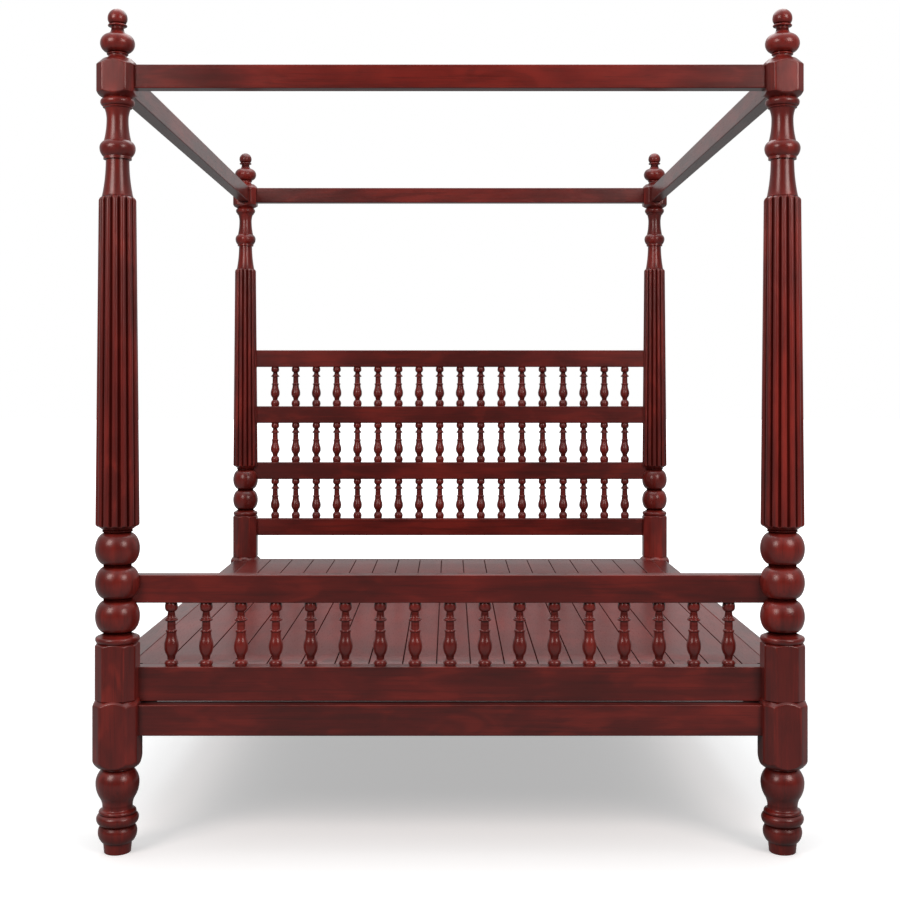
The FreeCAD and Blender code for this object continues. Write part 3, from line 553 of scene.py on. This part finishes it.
def flute_tree():
    """Cuts tapered flutes into a turned shaft, and lets them run out where the shaft turns in."""
    tree, inputs, end = new_group("Flutes", (
        ("Turning", "Geometry"), ("Axis", "Vector"), ("Count", "Int"), ("Phase", "Float"),
        ("Share", "Float"), ("Depth", "Float"), ("Crown", "Float"), ("Foot height", "Float"),
        ("Foot radius", "Float"), ("Head height", "Float"), ("Head radius", "Float"), ("Reach", "Float"),
        ("Finish", "Material")))
    share, depth, crown, reach = (inputs[title] for title in ("Share", "Depth", "Crown", "Reach"))
    foot, head = inputs["Foot height"], inputs["Head height"]
    times, plus, minus = tree.times, tree.plus, tree.minus
    position = tree.add("GeometryNodeInputPosition")
    local = tree.add("ShaderNodeVectorMath", {0: position, 1: inputs["Axis"]}, operation="SUBTRACT")
    x, y, z = tree.add("ShaderNodeSeparateXYZ", {0: local}).outputs
    flat = tree.math("SQRT", plus(times(x, x), times(y, y)))
    # the way round from the middle of the nearest flute: 0 there, and 0.5 in the middle of a ridge
    turns = times(tree.math("ARCTAN2", y, x), 1 / (2 * math.pi))
    number = plus(times(turns, inputs["Count"]), inputs["Phase"])
    across = tree.math("ABSOLUTE", minus(tree.math("FRACT", plus(number, 0.5)), 0.5))
    bite = tree.math("DIVIDE", across, share, clamp=True)
    hollow = tree.math("SQRT", minus(1.0, times(bite, bite)))
    ridge = tree.math("DIVIDE", minus(0.5, across), minus(0.5, share), clamp=True)
    rounded = times(tree.math("POWER", ridge, 2.5), crown)
    cut = plus(rounded, times(hollow, minus(depth, crown)))
    rise = tree.math("DIVIDE", minus(z, foot), minus(head, foot))
    taper = plus(inputs["Foot radius"], times(rise, minus(inputs["Head radius"], inputs["Foot radius"])))
    wanted = tree.math("MINIMUM", flat, minus(taper, cut))
    inside = times(tree.math("GREATER_THAN", z, minus(foot, reach)),
                   tree.math("LESS_THAN", z, plus(head, reach)))
    shrink = tree.math("DIVIDE", wanted, tree.math("MAXIMUM", flat, 1e-5))
    scale = tree.mix(inside, 1.0, shrink, kind="FLOAT")
    moved = tree.add("ShaderNodeCombineXYZ", {"X": times(x, scale), "Y": times(y, scale), "Z": z})
    back = tree.add("ShaderNodeVectorMath", {0: moved, 1: inputs["Axis"]}, operation="ADD")
    # painted shade in the hollow, deeper with the cut,
    # and painted highlight with rubbed wear on the edges beside it
    shaded = times(tree.math("DIVIDE", minus(flat, wanted), depth), inside)
    edge = times(times(tree.math("POWER", ridge, 6.0), minus(1.0, hollow)), 1.1)
    old = tree.add("GeometryNodeInputNamedAttribute", {"Name": "shade"}, data_type="FLOAT")
    total = plus(old, times(inside, minus(edge, times(shaded, 1.35))))
    stored = tree.add("GeometryNodeStoreNamedAttribute", {
        "Geometry": inputs["Turning"], "Name": "shade", "Value": total}, data_type="FLOAT", domain="POINT")
    fluted = tree.add("GeometryNodeSetPosition", {"Geometry": stored, "Position": back})
    return end_tree(tree, end, fluted, inputs["Finish"])


def tree_named(title, build):
    return bpy.data.node_groups.get(title) or build()


def run_tree(obj, group, values, name):
    """Runs a node tree on an object and keeps the result as a plain mesh of its own."""
    modifier = obj.modifiers.new("Tree", "NODES")
    modifier.node_group = group
    for item in group.interface.items_tree:
        if item.in_out == "INPUT" and item.name in values:
            modifier[item.identifier] = values[item.name]
    bpy.context.view_layer.update()
    ready = obj.evaluated_get(bpy.context.evaluated_depsgraph_get())
    mesh = bpy.data.meshes.new_from_object(ready)
    discard(obj)
    mesh.name = name
    return new_object(name, mesh)


def row_of(name, piece, count, first, step, material, turn=0.0, seed=0, number=0.0):
    holder = new_object(name + "_row", bpy.data.meshes.new(name))
    return run_tree(holder, tree_named("Row of like pieces", row_tree), {
        "Piece": piece, "Count": count, "First": first, "Step": step, "Turn": turn, "Seed": seed,
        "First number": number, "Finish": material}, name)


def finish_piece(obj, material, slot, *nodes):
    """Material, body and the hidden CAD nodes that the piece stands for; slot is not used."""
    obj.data.materials.clear()
    obj.data.materials.append(material)
    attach(obj, "root")
    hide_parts(*nodes)


# -------------------- materials
def figure_group(settings):
    """Streaks, patches and pores of the stained wood, with the grain along Z, and the painted shade and
    highlight of each point's shade.
    """
    tree, inputs, end = new_group(
        "Stained figure", (("Place", "Vector"), ("Piece", "Float"), ("Shade", "Float")),
        (("Colour", "Color"), ("Roughness", "Float"), ("Height", "Float"), ("Lacquer", "Float")),
        "ShaderNodeTree")
    times, plus = tree.times, tree.plus
    offset = tree.add("ShaderNodeCombineXYZ", {
        "X": times(inputs["Piece"], 0.731), "Y": times(inputs["Piece"], 1.317),
        "Z": times(inputs["Piece"], 2.173)})
    place = tree.add("ShaderNodeVectorMath", {0: inputs["Place"], 1: offset}, operation="ADD")

    def ramp(value, low, high):
        return tree.span(value, low, high, curve="SMOOTHSTEP")

    patches = tree.noise(place, (7.0, 7.0, 2.6), 2.0)
    blotches = tree.noise(place, (21.0, 21.0, 8.0), 2.0, distortion=0.6)
    streaks = tree.noise(place, (46.0, 46.0, 2.2), 4.0, rough=0.6, distortion=0.4)
    lines = tree.noise(place, (230.0, 230.0, 5.0), 3.0, rough=0.6)
    pores = tree.noise(place, (900.0, 900.0, 26.0), 2.0)
    dark, stain, bright = (tuple(colour) for colour in (settings.dark, settings.stain, settings.bright))
    dulled = tuple(s * 0.55 + d * 0.45 for s, d in zip(stain, dark))
    painted_shade_colour = tuple(d * 0.45 for d in dark[:3]) + (1.0,)
    colour = tree.mix(ramp(patches, 0.36, 0.66), dulled, stain)
    # each layer: what it follows, where it begins and is full, how much it covers, and its colour
    for value, none, full, cover, layer in (
            (patches, 0.52, 0.72, 0.62, bright), (blotches, 0.50, 0.70, 0.40, bright),
            (blotches, 0.50, 0.32, 0.28, dark), (streaks, 0.50, 0.70, 0.42, dark),
            (streaks, 0.46, 0.28, 0.30, bright), (lines, 0.52, 0.68, 0.34, dark),
            (pores, 0.60, 0.72, 0.45, dark)):
        colour = tree.mix(times(ramp(value, none, full), cover), colour, layer)
    # painted shade: where the shade is below 0, in recesses, flute hollows and deck seams, the colour is
    # darkened
    recess = times(inputs["Shade"], -1.0, clamp=True)
    colour = tree.mix(times(recess, 0.82), colour, painted_shade_colour)
    # painted highlight with rubbed wear: where the shade is above 0, on rounded edges and flute arrises, it
    # is brightened in patches
    worn = ramp(tree.noise(place, (60.0, 60.0, 14.0), 3.0), 0.40, 0.62)
    edge_wear_and_highlight = times(tree.math("MAXIMUM", inputs["Shade"], 0.0), worn, clamp=True)
    colour = tree.mix(times(edge_wear_and_highlight, 0.45), colour, bright)
    rough = plus(0.27, times(ramp(pores, 0.56, 0.72), 0.14))
    rough = plus(rough, times(recess, 0.25))
    rough = plus(rough, times(tree.noise(place, (5.0, 5.0, 5.0), 3.0), 0.08))
    height = plus(times(ramp(pores, 0.58, 0.72), -0.6), times(lines, 0.5))
    # the lacquer is taken away where the shade is below 0: painted shade on the reflection as well
    for title, value in (("Colour", colour), ("Roughness", rough), ("Height", height),
                         ("Lacquer", tree.minus(1.0, recess))):
        tree.put(value, end[title])
    return tree.tree


def wood(name, along, settings, coat=None, rough=1.0, tone=1.0, calm=0.0):
    """The stained and lacquered wood with its grain along one axis of the bed."""
    known = bpy.data.materials.get(name)
    if known:
        return known
    group = bpy.data.node_groups.get("Stained figure") or figure_group(settings)
    material = bpy.data.materials.new(name)
    tree = blank_tree(material)
    quarter = math.pi / 2
    turn = {0: (0.0, quarter, 0.0), 1: (quarter, 0.0, 0.0), 2: (0.0, 0.0, 0.0)}[along]
    grain = tree.add("ShaderNodeMapping", {"Vector": tree.own_place(), "Rotation": turn})
    piece, shade = (tree.add("ShaderNodeAttribute", attribute_name=title).outputs["Fac"]
                    for title in ("piece", "shade"))
    figure = tree.add("ShaderNodeGroup", node_tree=group)
    for title, value in (("Place", grain), ("Piece", piece), ("Shade", shade)):
        tree.put(value, figure.inputs[title])
    colour, roughness, height, lacquer = figure.outputs
    relief = tree.add("ShaderNodeBump", {"Height": height, "Strength": 0.05, "Distance": 0.6 * MM})
    even = tree.mix(tree.times(lacquer, calm), colour, tuple(settings.stain))
    tree.surface(tree.add("ShaderNodeBsdfPrincipled", {
        "Base Color": tree.mix(1.0, even, (tone, tone, tone, 1.0), blend="MULTIPLY"),
        "Roughness": tree.times(roughness, rough),
        "Normal": relief,
        "IOR": 1.45,
        # the lacquer output is lower in the recesses, a painted shade that dims their reflection
        "Specular IOR Level": tree.times(lacquer, 0.45),
        "Coat Weight": tree.times(lacquer, settings.gloss if coat is None else coat),
        "Coat Roughness": 0.22,
        "Coat IOR": 1.4}))
    return material


def turned_wood(context):
    return wood("turned_lacquered_wood", 2, context.scene.bed_wood, tone=1.22)


def bare_wood(settings):
    """Planed, unstained wood for the hidden bearers and ledgers."""
    material = bpy.data.materials.new("bare_planed_wood")
    tree = blank_tree(material)
    figure = tree.noise(tree.own_place(), (3.0, 30.0, 60.0), 5.0, rough=0.6, distortion=0.5)
    bare = tuple(settings.bare)
    relief = tree.add("ShaderNodeBump", {"Height": figure, "Strength": 0.1, "Distance": 1.0 * MM})
    tree.surface(tree.add("ShaderNodeBsdfPrincipled", {
        "Base Color": tree.mix(figure, tuple(part * 0.5 for part in bare[:3]) + (1.0,), bare),
        "Roughness": 0.72,
        "Normal": relief}))
    return material


def plain_steel():
    """Plain turned steel for bolts and nuts."""
    material = bpy.data.materials.new("plain_steel")
    tree = blank_tree(material)
    marks = tree.noise(tree.own_place(), (90.0, 900.0, 90.0), 3.0)
    tree.surface(tree.add("ShaderNodeBsdfPrincipled", {
        "Base Color": (0.45, 0.45, 0.46, 1.0),
        "Metallic": 1.0,
        "Roughness": tree.plus(0.28, tree.times(marks, 0.2))}))
    return material


def refinish(names, material):
    """Gives CAD solids that stay as they are a material of this bed."""
    for name in names:
        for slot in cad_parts[name].material_slots:
            slot.material = material


# -------------------- turnings
def leg_parts(end):
    """Turned foot, wide lower block and slimmer upper block of a leg."""
    block_top, width = 384.0 if end == "foot" else 470.0, UPPER_BLOCKS[end]
    foot = Turning(31.8, 0.0).to(33.0, 1.2).to(35.5, 26.8, 3)
    foot.to(39.4, 0.4).bead(48.2, 23.4, 43.4, 14.5).to(42.0, 1.4).to(42.6, 1.6)
    foot.bead(52.2, 16.5, 45.6, 11.0).to(44.2, 1.2).to(45.4, 1.4).bead(46.2, 2.6, 40.0, 5.4, 4)
    foot.swell(37.0, 5.0, 4).to(37.0, 2.6)
    foot.close(45.3, 26.0, 7).swell(53.7, 33.0, 8).close(38.0, 35.0, 10)
    lower = Block(LOWER_BLOCK, 22.0, foot.rings[-1][1], block_top,
                  foot=Shoulder(38.0, 38.0, 66.0, rounded=True), head=Shoulder(width / 2, 15.5, 66.0))
    upper = Block(width, 24.0, block_top, LEG_TOPS[end],
                  head=Shoulder(width / 2 - 0.8, 6.0, width / 2 + 7.5))
    return [foot, lower, upper]


def post_parts(end):
    """Collar, balls, shaft, vase, ring, neck, bead and top block, and both ends of the shaft."""
    # the head posts stand a little slimmer, on two balls where the foot posts have three
    slim, collar, ball, neck, pitch, balls, shaft, head = (
        (1.0, 54.7, 54.8, 35.4, 84.5, 3, 54.0, 46.0) if end == "foot"
        else (0.914, 48.5, 49.6, 32.6, 82.0, 2, 49.6, 42.5))
    groove = 6.4
    low = Turning(collar - 5.5, LEG_TOPS[end]).bead(collar, 10.0, collar - 6.0, 6.6, 6)
    low.to(neck + 1.0, 5.4, 3).to(neck, 1.0)
    for _ in range(balls):
        low.to(neck - 1.6, groove / 4).to(neck - 0.4, groove / 4)
        low.bead(ball, (pitch - groove) / 2, neck, (pitch - groove) / 2, 14, BALL_SWEEP)
        low.to(neck - 1.6, groove / 4).to(neck - 0.4, groove / 4)
    low.to(neck + 1.2, 0.4).bead(neck + 2.2, 1.8, neck + 1.2, 1.8, 4).to(neck - 0.4, 0.4)
    low.to(shaft - 6.5, 9.4, 5).swell(shaft, 6.6, 5)
    ends = [low.rings[-1], (head, SHAFT_HEAD)]
    low.to(head, SHAFT_HEAD - low.rings[-1][1], 14).slimmed(slim)
    low.close(39.0, 11.0, 10).to(37.0, 0.6).to(38.6, 0.8).to(37.6, 3.0, 2).swell(28.8, 87.6, 10)
    low.to(28.8, 1.0).to(34.7, 1.0).to(34.7, 7.0).to(36.0, 1.0).bead(44.2, 20.0, 34.7, 17.0).to(33.6, 0.8)
    low.swell(26.8, 54.2, 12).close(32.0, 27.0, 10).to(35.6, 1.6).to(36.2, 2.4).to(35.0, 0.6)
    low.to(35.4, 0.6).bead(42.2, 10.6, 35.6, 9.0, 7, BALL_SWEEP).to(34.7, 1.0)
    top = Block(92.0, 17.0, low.rings[-1][1], BLOCK_TOP, foot=Shoulder(34.7 * slim, 14.0, 56.0),
                head=Shoulder(36.0, 18.1, 56.0))
    cap = Turning(35.4, BLOCK_TOP).to(34.0, 0.4).swell(22.4, 10.4, 6).to(22.4, 0.6)
    return [low, top, cap], ends


def finial_parts():
    """Flattened ball, disc and small ball, which closes in a quarter circle at the bed's top."""
    crown, steps = 24.5, 12
    turning = Turning(22.4, FINIAL_FOOT).to(25.0, 0.4).bead(26.6, 1.8, 25.0, 1.8, 4)
    turning.to(23.4, 0.4).to(23.6, 0.8).bead(42.7, 23.4, 25.0, 23.4, 12, BALL_SWEEP)
    turning.to(23.0, 0.4).swell(15.4, 14.0, 6).to(16.2, 4.2, 2)
    turning.to(22.4, 0.7).bead(23.7, 2.3, 22.4, 2.3, 4).to(17.0, 0.6).swell(crown, 14.5, 8)
    for step in range(1, steps):
        turn = math.pi / 2 * step / steps
        turning.rings.append((crown * math.cos(turn), BED_TOP - crown * (1 - math.sin(turn))))
    turning.rings.append((0.4, BED_TOP))
    return [turning]


def spindle_parts(end):
    """One spindle, 160 mm long: bulb, belly, ring, stem, disc and ball, all set lower at the foot end."""
    bulb, waist, belly, stem, neck, crown = (
        (2.8, 10.5, 23.0, 21.3, 13.6, 13.2) if end == "foot" else (8.1, 14.5, 16.5, 25.5, 8.8, 11.0))
    turning = Turning(15.0, 0.0).to(15.4, 0.4).to(15.4, 2.2).to(14.8, 0.3).swell(17.2, bulb, 5)
    turning.close(9.8, waist, 8, BALL_SWEEP).to(9.6, 1.4).to(9.8, 1.4)
    turning.close(12.2, 8.6, 4).swell(18.3, belly, 7, math.radians(56)).close(15.4, 15.5, 5)
    turning.swell(12.4, 18.0, 5).to(11.8, 0.4).to(13.4, 0.5).bead(14.4, 2.6, 13.4, 2.6, 4).to(10.9, 0.9)
    turning.to(10.4, stem, 4).to(15.2, 0.7).bead(16.7, 2.6, 15.2, 2.4, 4)
    turning.to(13.0, 0.4).bead(13.6, 1.2, 12.6, 1.2, 3).to(11.2, 0.8)
    turning.swell(9.0, neck, 5).to(9.6, 0.9).swell(16.2, 10.6, 7, BALL_SWEEP).close(13.8, crown, 5)
    return [turning]


# -------------------- operators
class BED_OT_legs(bpy.types.Operator):
    """Turns the four legs with their feet and blocks"""

    bl_idname = "bed.legs"
    bl_label = "Legs"

    def execute(self, context):
        material = turned_wood(context)
        for number, (corner, axis) in enumerate(CORNERS.items()):
            obj = lathe(corner + "_leg_turning", leg_parts(corner[:4]), even_angles(LEG_COLUMNS), axis,
                        FIGURES["legs"] + number)
            finish_piece(obj, material, "turned_wood", corner + "_leg")
        return {"FINISHED"}


class BED_OT_posts(bpy.types.Operator):
    """Turns and flutes the four posts"""

    bl_idname = "bed.posts"
    bl_label = "Posts"

    def execute(self, context):
        flutes = context.scene.bed_flutes
        material = turned_wood(context)
        for number, (corner, axis) in enumerate(CORNERS.items()):
            parts, (foot, head) = post_parts(corner[:4])
            phase = FLUTE_PHASES[corner[5:]]
            start = 2 * math.pi * phase / flutes.count
            angles = [angle - start for angle in flute_angles(flutes.count, flutes.share)]
            turning = lathe(corner + "_post_blank", parts, angles, axis, FIGURES["posts"] + number)
            obj = run_tree(turning, tree_named("Flutes", flute_tree), {
                "Axis": (axis[0], axis[1], 0.0), "Count": flutes.count, "Phase": phase,
                "Share": flutes.share, "Depth": flutes.depth, "Crown": flutes.crown,
                "Foot height": foot[1] * MM, "Foot radius": foot[0] * MM,
                "Head height": head[1] * MM, "Head radius": head[0] * MM,
                "Reach": FLUTE_REACH, "Finish": material}, corner + "_post_turning")
            finish_piece(obj, material, "turned_wood", corner + "_post")
        return {"FINISHED"}


class BED_OT_finials(bpy.types.Operator):
    """Turns the four finials"""

    bl_idname = "bed.finials"
    bl_label = "Finials"

    def execute(self, context):
        material = turned_wood(context)
        for number, (corner, axis) in enumerate(CORNERS.items()):
            obj = lathe(corner + "_finial_turning", finial_parts(), even_angles(FINIAL_COLUMNS), axis,
                        FIGURES["finials"] + number)
            finish_piece(obj, material, "turned_wood", corner + "_finial")
        return {"FINISHED"}


def dress_bars(context, names, along, kind):
    """Planes one bar over each rail, with the grain along it."""
    material = wood(("rail_wood_across", "rail_wood_along")[along], along, context.scene.bed_wood, tone=0.86)
    for number, node in enumerate(names):
        obj = bar(node + "_bar", *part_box(node), along, FIGURES[kind] + number * RAIL_FIGURES_APART)
        finish_piece(obj, material, "rail_wood", node)


class BED_OT_canopy(bpy.types.Operator):
    """Planes the four rails of the canopy frame"""

    bl_idname = "bed.canopy"
    bl_label = "Canopy rails"

    def execute(self, context):
        dress_bars(context, ("canopy_rail_foot", "canopy_rail_head"), 0, "canopy across")
        dress_bars(context, ("canopy_rail_left", "canopy_rail_right"), 1, "canopy along")
        return {"FINISHED"}


class BED_OT_rails(bpy.types.Operator):
    """Planes the rails of the head, the foot and the sides"""

    bl_idname = "bed.rails"
    bl_label = "Head, foot and side rails"

    def execute(self, context):
        names = ("foot_base_rail", "footboard_lower_rail", "footboard_top_rail", "head_base_rail",
                 "head_deck_rail", "headboard_bottom_rail", "headboard_lower_middle_rail",
                 "headboard_upper_middle_rail", "headboard_top_rail")
        dress_bars(context, names, 0, "rails")
        dress_bars(context, ("side_rail_left", "side_rail_right"), 1, "side rails")
        return {"FINISHED"}


class BED_OT_spindles(bpy.types.Operator):
    """Stands the four rows of spindles between their rails"""

    bl_idname = "bed.spindles"
    bl_label = "Spindles"

    def execute(self, context):
        sizes = context.scene.bed_spindles
        material = wood("spindle_lacquered_wood", 2, context.scene.bed_wood, coat=0.65, tone=1.02, calm=0.35)
        rows = [("footboard_spindles", sizes.foot_count, sizes.foot_pitch)]
        rows += [("headboard_spindles_" + tier, sizes.head_count, sizes.head_pitch)
                 for tier in ("lower", "middle", "upper")]
        for seed, (node, count, pitch) in enumerate(rows):
            master = lathe("spindle_master", spindle_parts(node[:4]), even_angles(SPINDLE_COLUMNS),
                           (0.0, 0.0))
            low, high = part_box(node)
            first = (-(count - 1) * pitch / 2, (low[1] + high[1]) / 2, low[2])
            obj = row_of(node + "_row", master, count, first, (pitch, 0.0, 0.0), material,
                         turn=3.0, seed=seed, number=FIGURES["spindles"] + seed * ROW_FIGURES_APART)
            finish_piece(obj, material, "turned_wood", node)
            discard(master)
        return {"FINISHED"}


class BED_OT_deck(bpy.types.Operator):
    """Lays the boards of the deck and finishes what carries them"""

    bl_idname = "bed.deck"
    bl_label = "Deck"

    def execute(self, context):
        material = wood("deck_lacquered_wood", 1, context.scene.bed_wood, coat=0.38, rough=1.2, calm=0.55)
        names = sorted(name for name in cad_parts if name.startswith("deck_board_"))
        for outer, node in ((-1, names[0]), (1, names[-1])):
            low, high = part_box(node)
            side = max(abs(low[0]), abs(high[0]))
            # at the foot the boards pass the slim upper block of the leg, at the head its wide lower one
            notches = [(side - HALF_WIDTH + half + MM, high[1] - HALF_LENGTH + half + MM)
                       for half in (UPPER_BLOCKS["foot"] / 2 * MM, LOWER_BLOCK / 2 * MM)]
            obj = plank(node + "_plank", low, high, FIGURES["edge boards"] + outer, outer, notches)
            finish_piece(obj, material, "deck_wood", node)
        low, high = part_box(names[1])
        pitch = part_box(names[2])[0][0] - low[0]
        half = (high[0] - low[0]) / 2
        master = plank("plank_master", (-half, low[1], low[2]), (half, high[1], high[2]))
        obj = row_of("deck_planks", master, len(names) - 2, (low[0] + half, 0.0, 0.0), (pitch, 0.0, 0.0),
                     material, number=FIGURES["boards"])
        finish_piece(obj, material, "deck_wood", *names[1:-1])
        discard(master)
        refinish([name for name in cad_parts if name.startswith(("bearer_", "ledger_"))],
                 bare_wood(context.scene.bed_wood))
        return {"FINISHED"}


class BED_OT_hardware(bpy.types.Operator):
    """Finishes the bed bolts, their nuts and the plugs over the bolt heads"""

    bl_idname = "bed.hardware"
    bl_label = "Bed bolts"

    def execute(self, context):
        refinish(("bed_bolts", "barrel_nuts"), plain_steel())
        self.plugs(turned_wood(context))
        return {"FINISHED"}

    @staticmethod
    def plugs(material):
        """Four round plugs, a hair proud of the legs, with the figure of the leg running through."""
        low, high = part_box("bolt_plugs")
        radius, height = (high[2] - low[2]) / 2, (high[2] + low[2]) / 2
        proud, depth = 0.15 * MM, 8.0 * MM
        points, faces, figures = [], [], []
        for number, axis in enumerate(CORNERS.values()):
            first = len(points)
            x = math.copysign(high[0] - radius, axis[0])
            out = math.copysign(1.0, axis[1])
            face = out * (high[1] + proud)
            for y in (face, face - out * depth):
                points += [(x + radius * math.cos(turn * out), y, height + radius * math.sin(turn * out), 0.0)
                           for turn in even_angles(PLUG_COLUMNS)]
            faces += lids(2, PLUG_COLUMNS, first=first) + skin(2, PLUG_COLUMNS, first=first)
            figures += [FIGURES["legs"] + number] * (len(points) - first)
        obj = make_mesh("bolt_plug_discs", points, faces, figures)
        finish_piece(obj, material, "turned_wood", "bolt_plugs")


def area_lamp(name, place, aim, size, energy, colour=(1.0, 1.0, 1.0), kept_off=None):
    """A soft lamp; one that is kept off the floor doesn't show in the lacquer either."""
    data = bpy.data.lights.new(name, "AREA")
    data.shape = "RECTANGLE"
    data.size, data.size_y = size
    data.energy = energy
    data.color = colour
    lamp = new_object(name, data)
    lamp.location = place
    lamp.rotation_euler = (Vector(aim) - Vector(place)).to_track_quat("-Z", "Y").to_euler()
    if kept_off:
        lamp.visible_glossy = False
        lamp.light_linking.receiver_collection = kept_off


class BED_OT_stage(bpy.types.Operator):
    """Sets the floor, the lights and the camera"""

    bl_idname = "bed.stage"
    bl_label = "Stage"

    def execute(self, context):
        studio = context.scene.bed_studio
        scene = context.scene
        scene.view_settings.view_transform = "Standard"
        floor = self.floor()
        self.world(scene, studio)
        kept_off = bpy.data.collections.new("floor kept off the keys")
        kept_off.objects.link(floor)
        kept_off.collection_objects[0].light_linking.link_state = "EXCLUDE"
        for name, side in (("left", -1), ("right", 1)):
            area_lamp("softbox_" + name, (2.75 * side, -3.9, 3.0), (0.2 * side, 0.0, 1.0), (1.7, 1.9),
                      78.0, colour=(1.0, 0.82, 0.77))
            area_lamp("key_" + name, (2.0 * side, -3.6, 3.0), (0.6 * side, -0.6, 1.2), (1.6, 1.6),
                      50.0, kept_off=kept_off)
        area_lamp("head_fill", (0.0, -0.6, 2.7), (0.0, 1.0, 0.8), (2.0, 0.8), 9.0, kept_off=kept_off)
        area_lamp("back_fill", (0.0, 4.4, 2.2), (0.0, 1.0, 1.0), (2.8, 1.6), 42.0, kept_off=kept_off)
        area_lamp("overhead", (0.0, 0.6, 4.6), (0.0, 0.0, 0.4), (4.0, 4.0), 90.0)
        camera = new_object("camera", bpy.data.cameras.new("camera"))
        camera.location = (0.0, -studio.camera_distance, studio.camera_height)
        camera.rotation_euler = (math.pi / 2, 0.0, 0.0)
        camera.data.sensor_width = 36.0
        camera.data.lens = studio.lens
        camera.data.shift_y = studio.horizon
        scene.camera = camera
        return {"FINISHED"}

    @staticmethod
    def floor():
        """A wide pale floor that glows, in which the camera and the lacquer see different strengths of white.
        """
        far = 40.0
        mesh = bpy.data.meshes.new("floor")
        mesh.from_pydata([(-far, -far, 0), (far, -far, 0), (far, far, 0), (-far, far, 0)], [], [(0, 1, 2, 3)])
        material = bpy.data.materials.new("pale_floor")
        tree = blank_tree(material)
        ray = tree.add("ShaderNodeLightPath")
        seen = ray.outputs["Is Camera Ray"]
        # the camera sees a pale sweep, a painted light that clears to white with distance from the bed; the
        # gloss sees it dimmer, and painted darker yet under the bed; and little of its light comes back
        coords = tree.own_place()
        away = tree.add("ShaderNodeVectorMath", {0: coords}, operation="LENGTH").outputs["Value"]
        # painted light: the camera's glow grows from 1.6 to 4.5 m out from the bed
        clear = tree.span(away, 1.6, 4.5, top=0.6)
        x, y = tree.add("ShaderNodeSeparateXYZ", {0: coords}).outputs[:2]
        beside = tree.math("MAXIMUM", tree.minus(tree.math("ABSOLUTE", x), HALF_WIDTH),
                           tree.minus(tree.math("ABSOLUTE", y), HALF_LENGTH))
        # painted shade: the gloss sees the floor glow dimly under the bed and more beside it
        lit = tree.span(beside, -0.3, 0.3, 0.03, 0.26)
        pale = tree.mix(seen, (0.13, 0.12, 0.12, 1.0), (0.76, 0.805, 0.82, 1.0))
        matt = tree.add("ShaderNodeBsdfDiffuse", {"Color": pale})
        shine = tree.times(ray.outputs["Is Glossy Ray"], tree.minus(lit, tree.times(clear, 0.16)))
        strength = tree.plus(shine, tree.times(seen, tree.plus(0.44, clear)))
        glow = tree.add("ShaderNodeEmission", {"Color": (1.0, 1.0, 1.0, 1.0), "Strength": strength})
        tree.surface(tree.add("ShaderNodeAddShader", {0: matt, 1: glow}))
        mesh.materials.append(material)
        obj = new_object("floor", mesh)
        return obj

    @staticmethod
    def world(scene, studio):
        """White for the camera, and a softly lit room for the bed."""
        scene.world = bpy.data.worlds.new("studio")
        tree = blank_tree(scene.world)
        ray = tree.add("ShaderNodeLightPath")
        coords = tree.add("ShaderNodeTexCoord")
        way = tree.add("ShaderNodeSeparateXYZ", {0: coords.outputs["Generated"]})
        # the ceiling is bright, the wall behind the headboard dimmer, the side of the camera dark
        behind = tree.span(way.outputs["Y"], -0.7, 0.8, 0.04, 0.72)
        above = tree.span(way.outputs["Z"], 0.35, 0.95)
        room = tree.times(tree.plus(behind, above), studio.sky)
        strength = tree.mix(ray.outputs["Is Camera Ray"], room, 1.0, kind="FLOAT")
        light = tree.add("ShaderNodeBackground", {"Color": (1.0, 1.0, 1.0, 1.0), "Strength": strength})
        tree.surface(light, "ShaderNodeOutputWorld")


class BED_PT_panel(bpy.types.Panel):
    """Lists what can be made and its settings"""

    bl_idname = "BED_PT_panel"
    bl_label = "Spindle bed"
    bl_space_type = "VIEW_3D"
    bl_region_type = "UI"
    bl_category = "Spindle bed"

    def draw(self, context):
        layout = self.layout
        for group in ("bed_wood", "bed_flutes", "bed_spindles", "bed_studio"):
            settings = getattr(context.scene, group)
            box = layout.box()
            for name in settings.bl_rna.properties.keys():
                if name not in ("rna_type", "name"):
                    box.prop(settings, name)
        for operator in OPERATORS:
            layout.operator(operator.bl_idname)


OPERATORS = (BED_OT_stage, BED_OT_legs, BED_OT_posts, BED_OT_finials, BED_OT_canopy, BED_OT_rails,
             BED_OT_spindles, BED_OT_deck, BED_OT_hardware)
GROUPS = {"bed_wood": WoodSettings, "bed_flutes": FluteSettings, "bed_spindles": SpindleSettings,
          "bed_studio": StudioSettings}
CLASSES = tuple(GROUPS.values()) + OPERATORS + (BED_PT_panel,)


def register():
    for item in CLASSES:
        bpy.utils.register_class(item)
    for name, group in GROUPS.items():
        setattr(bpy.types.Scene, name, bpy.props.PointerProperty(type=group))


def unregister():
    for name in GROUPS:
        delattr(bpy.types.Scene, name)
    for item in reversed(CLASSES):
        bpy.utils.unregister_class(item)


def main():
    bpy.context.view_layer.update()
    register()
    for operator in OPERATORS:
        module, name = operator.bl_idname.split(".")
        getattr(getattr(bpy.ops, module), name)()


if __name__ == "__main__":
    main()
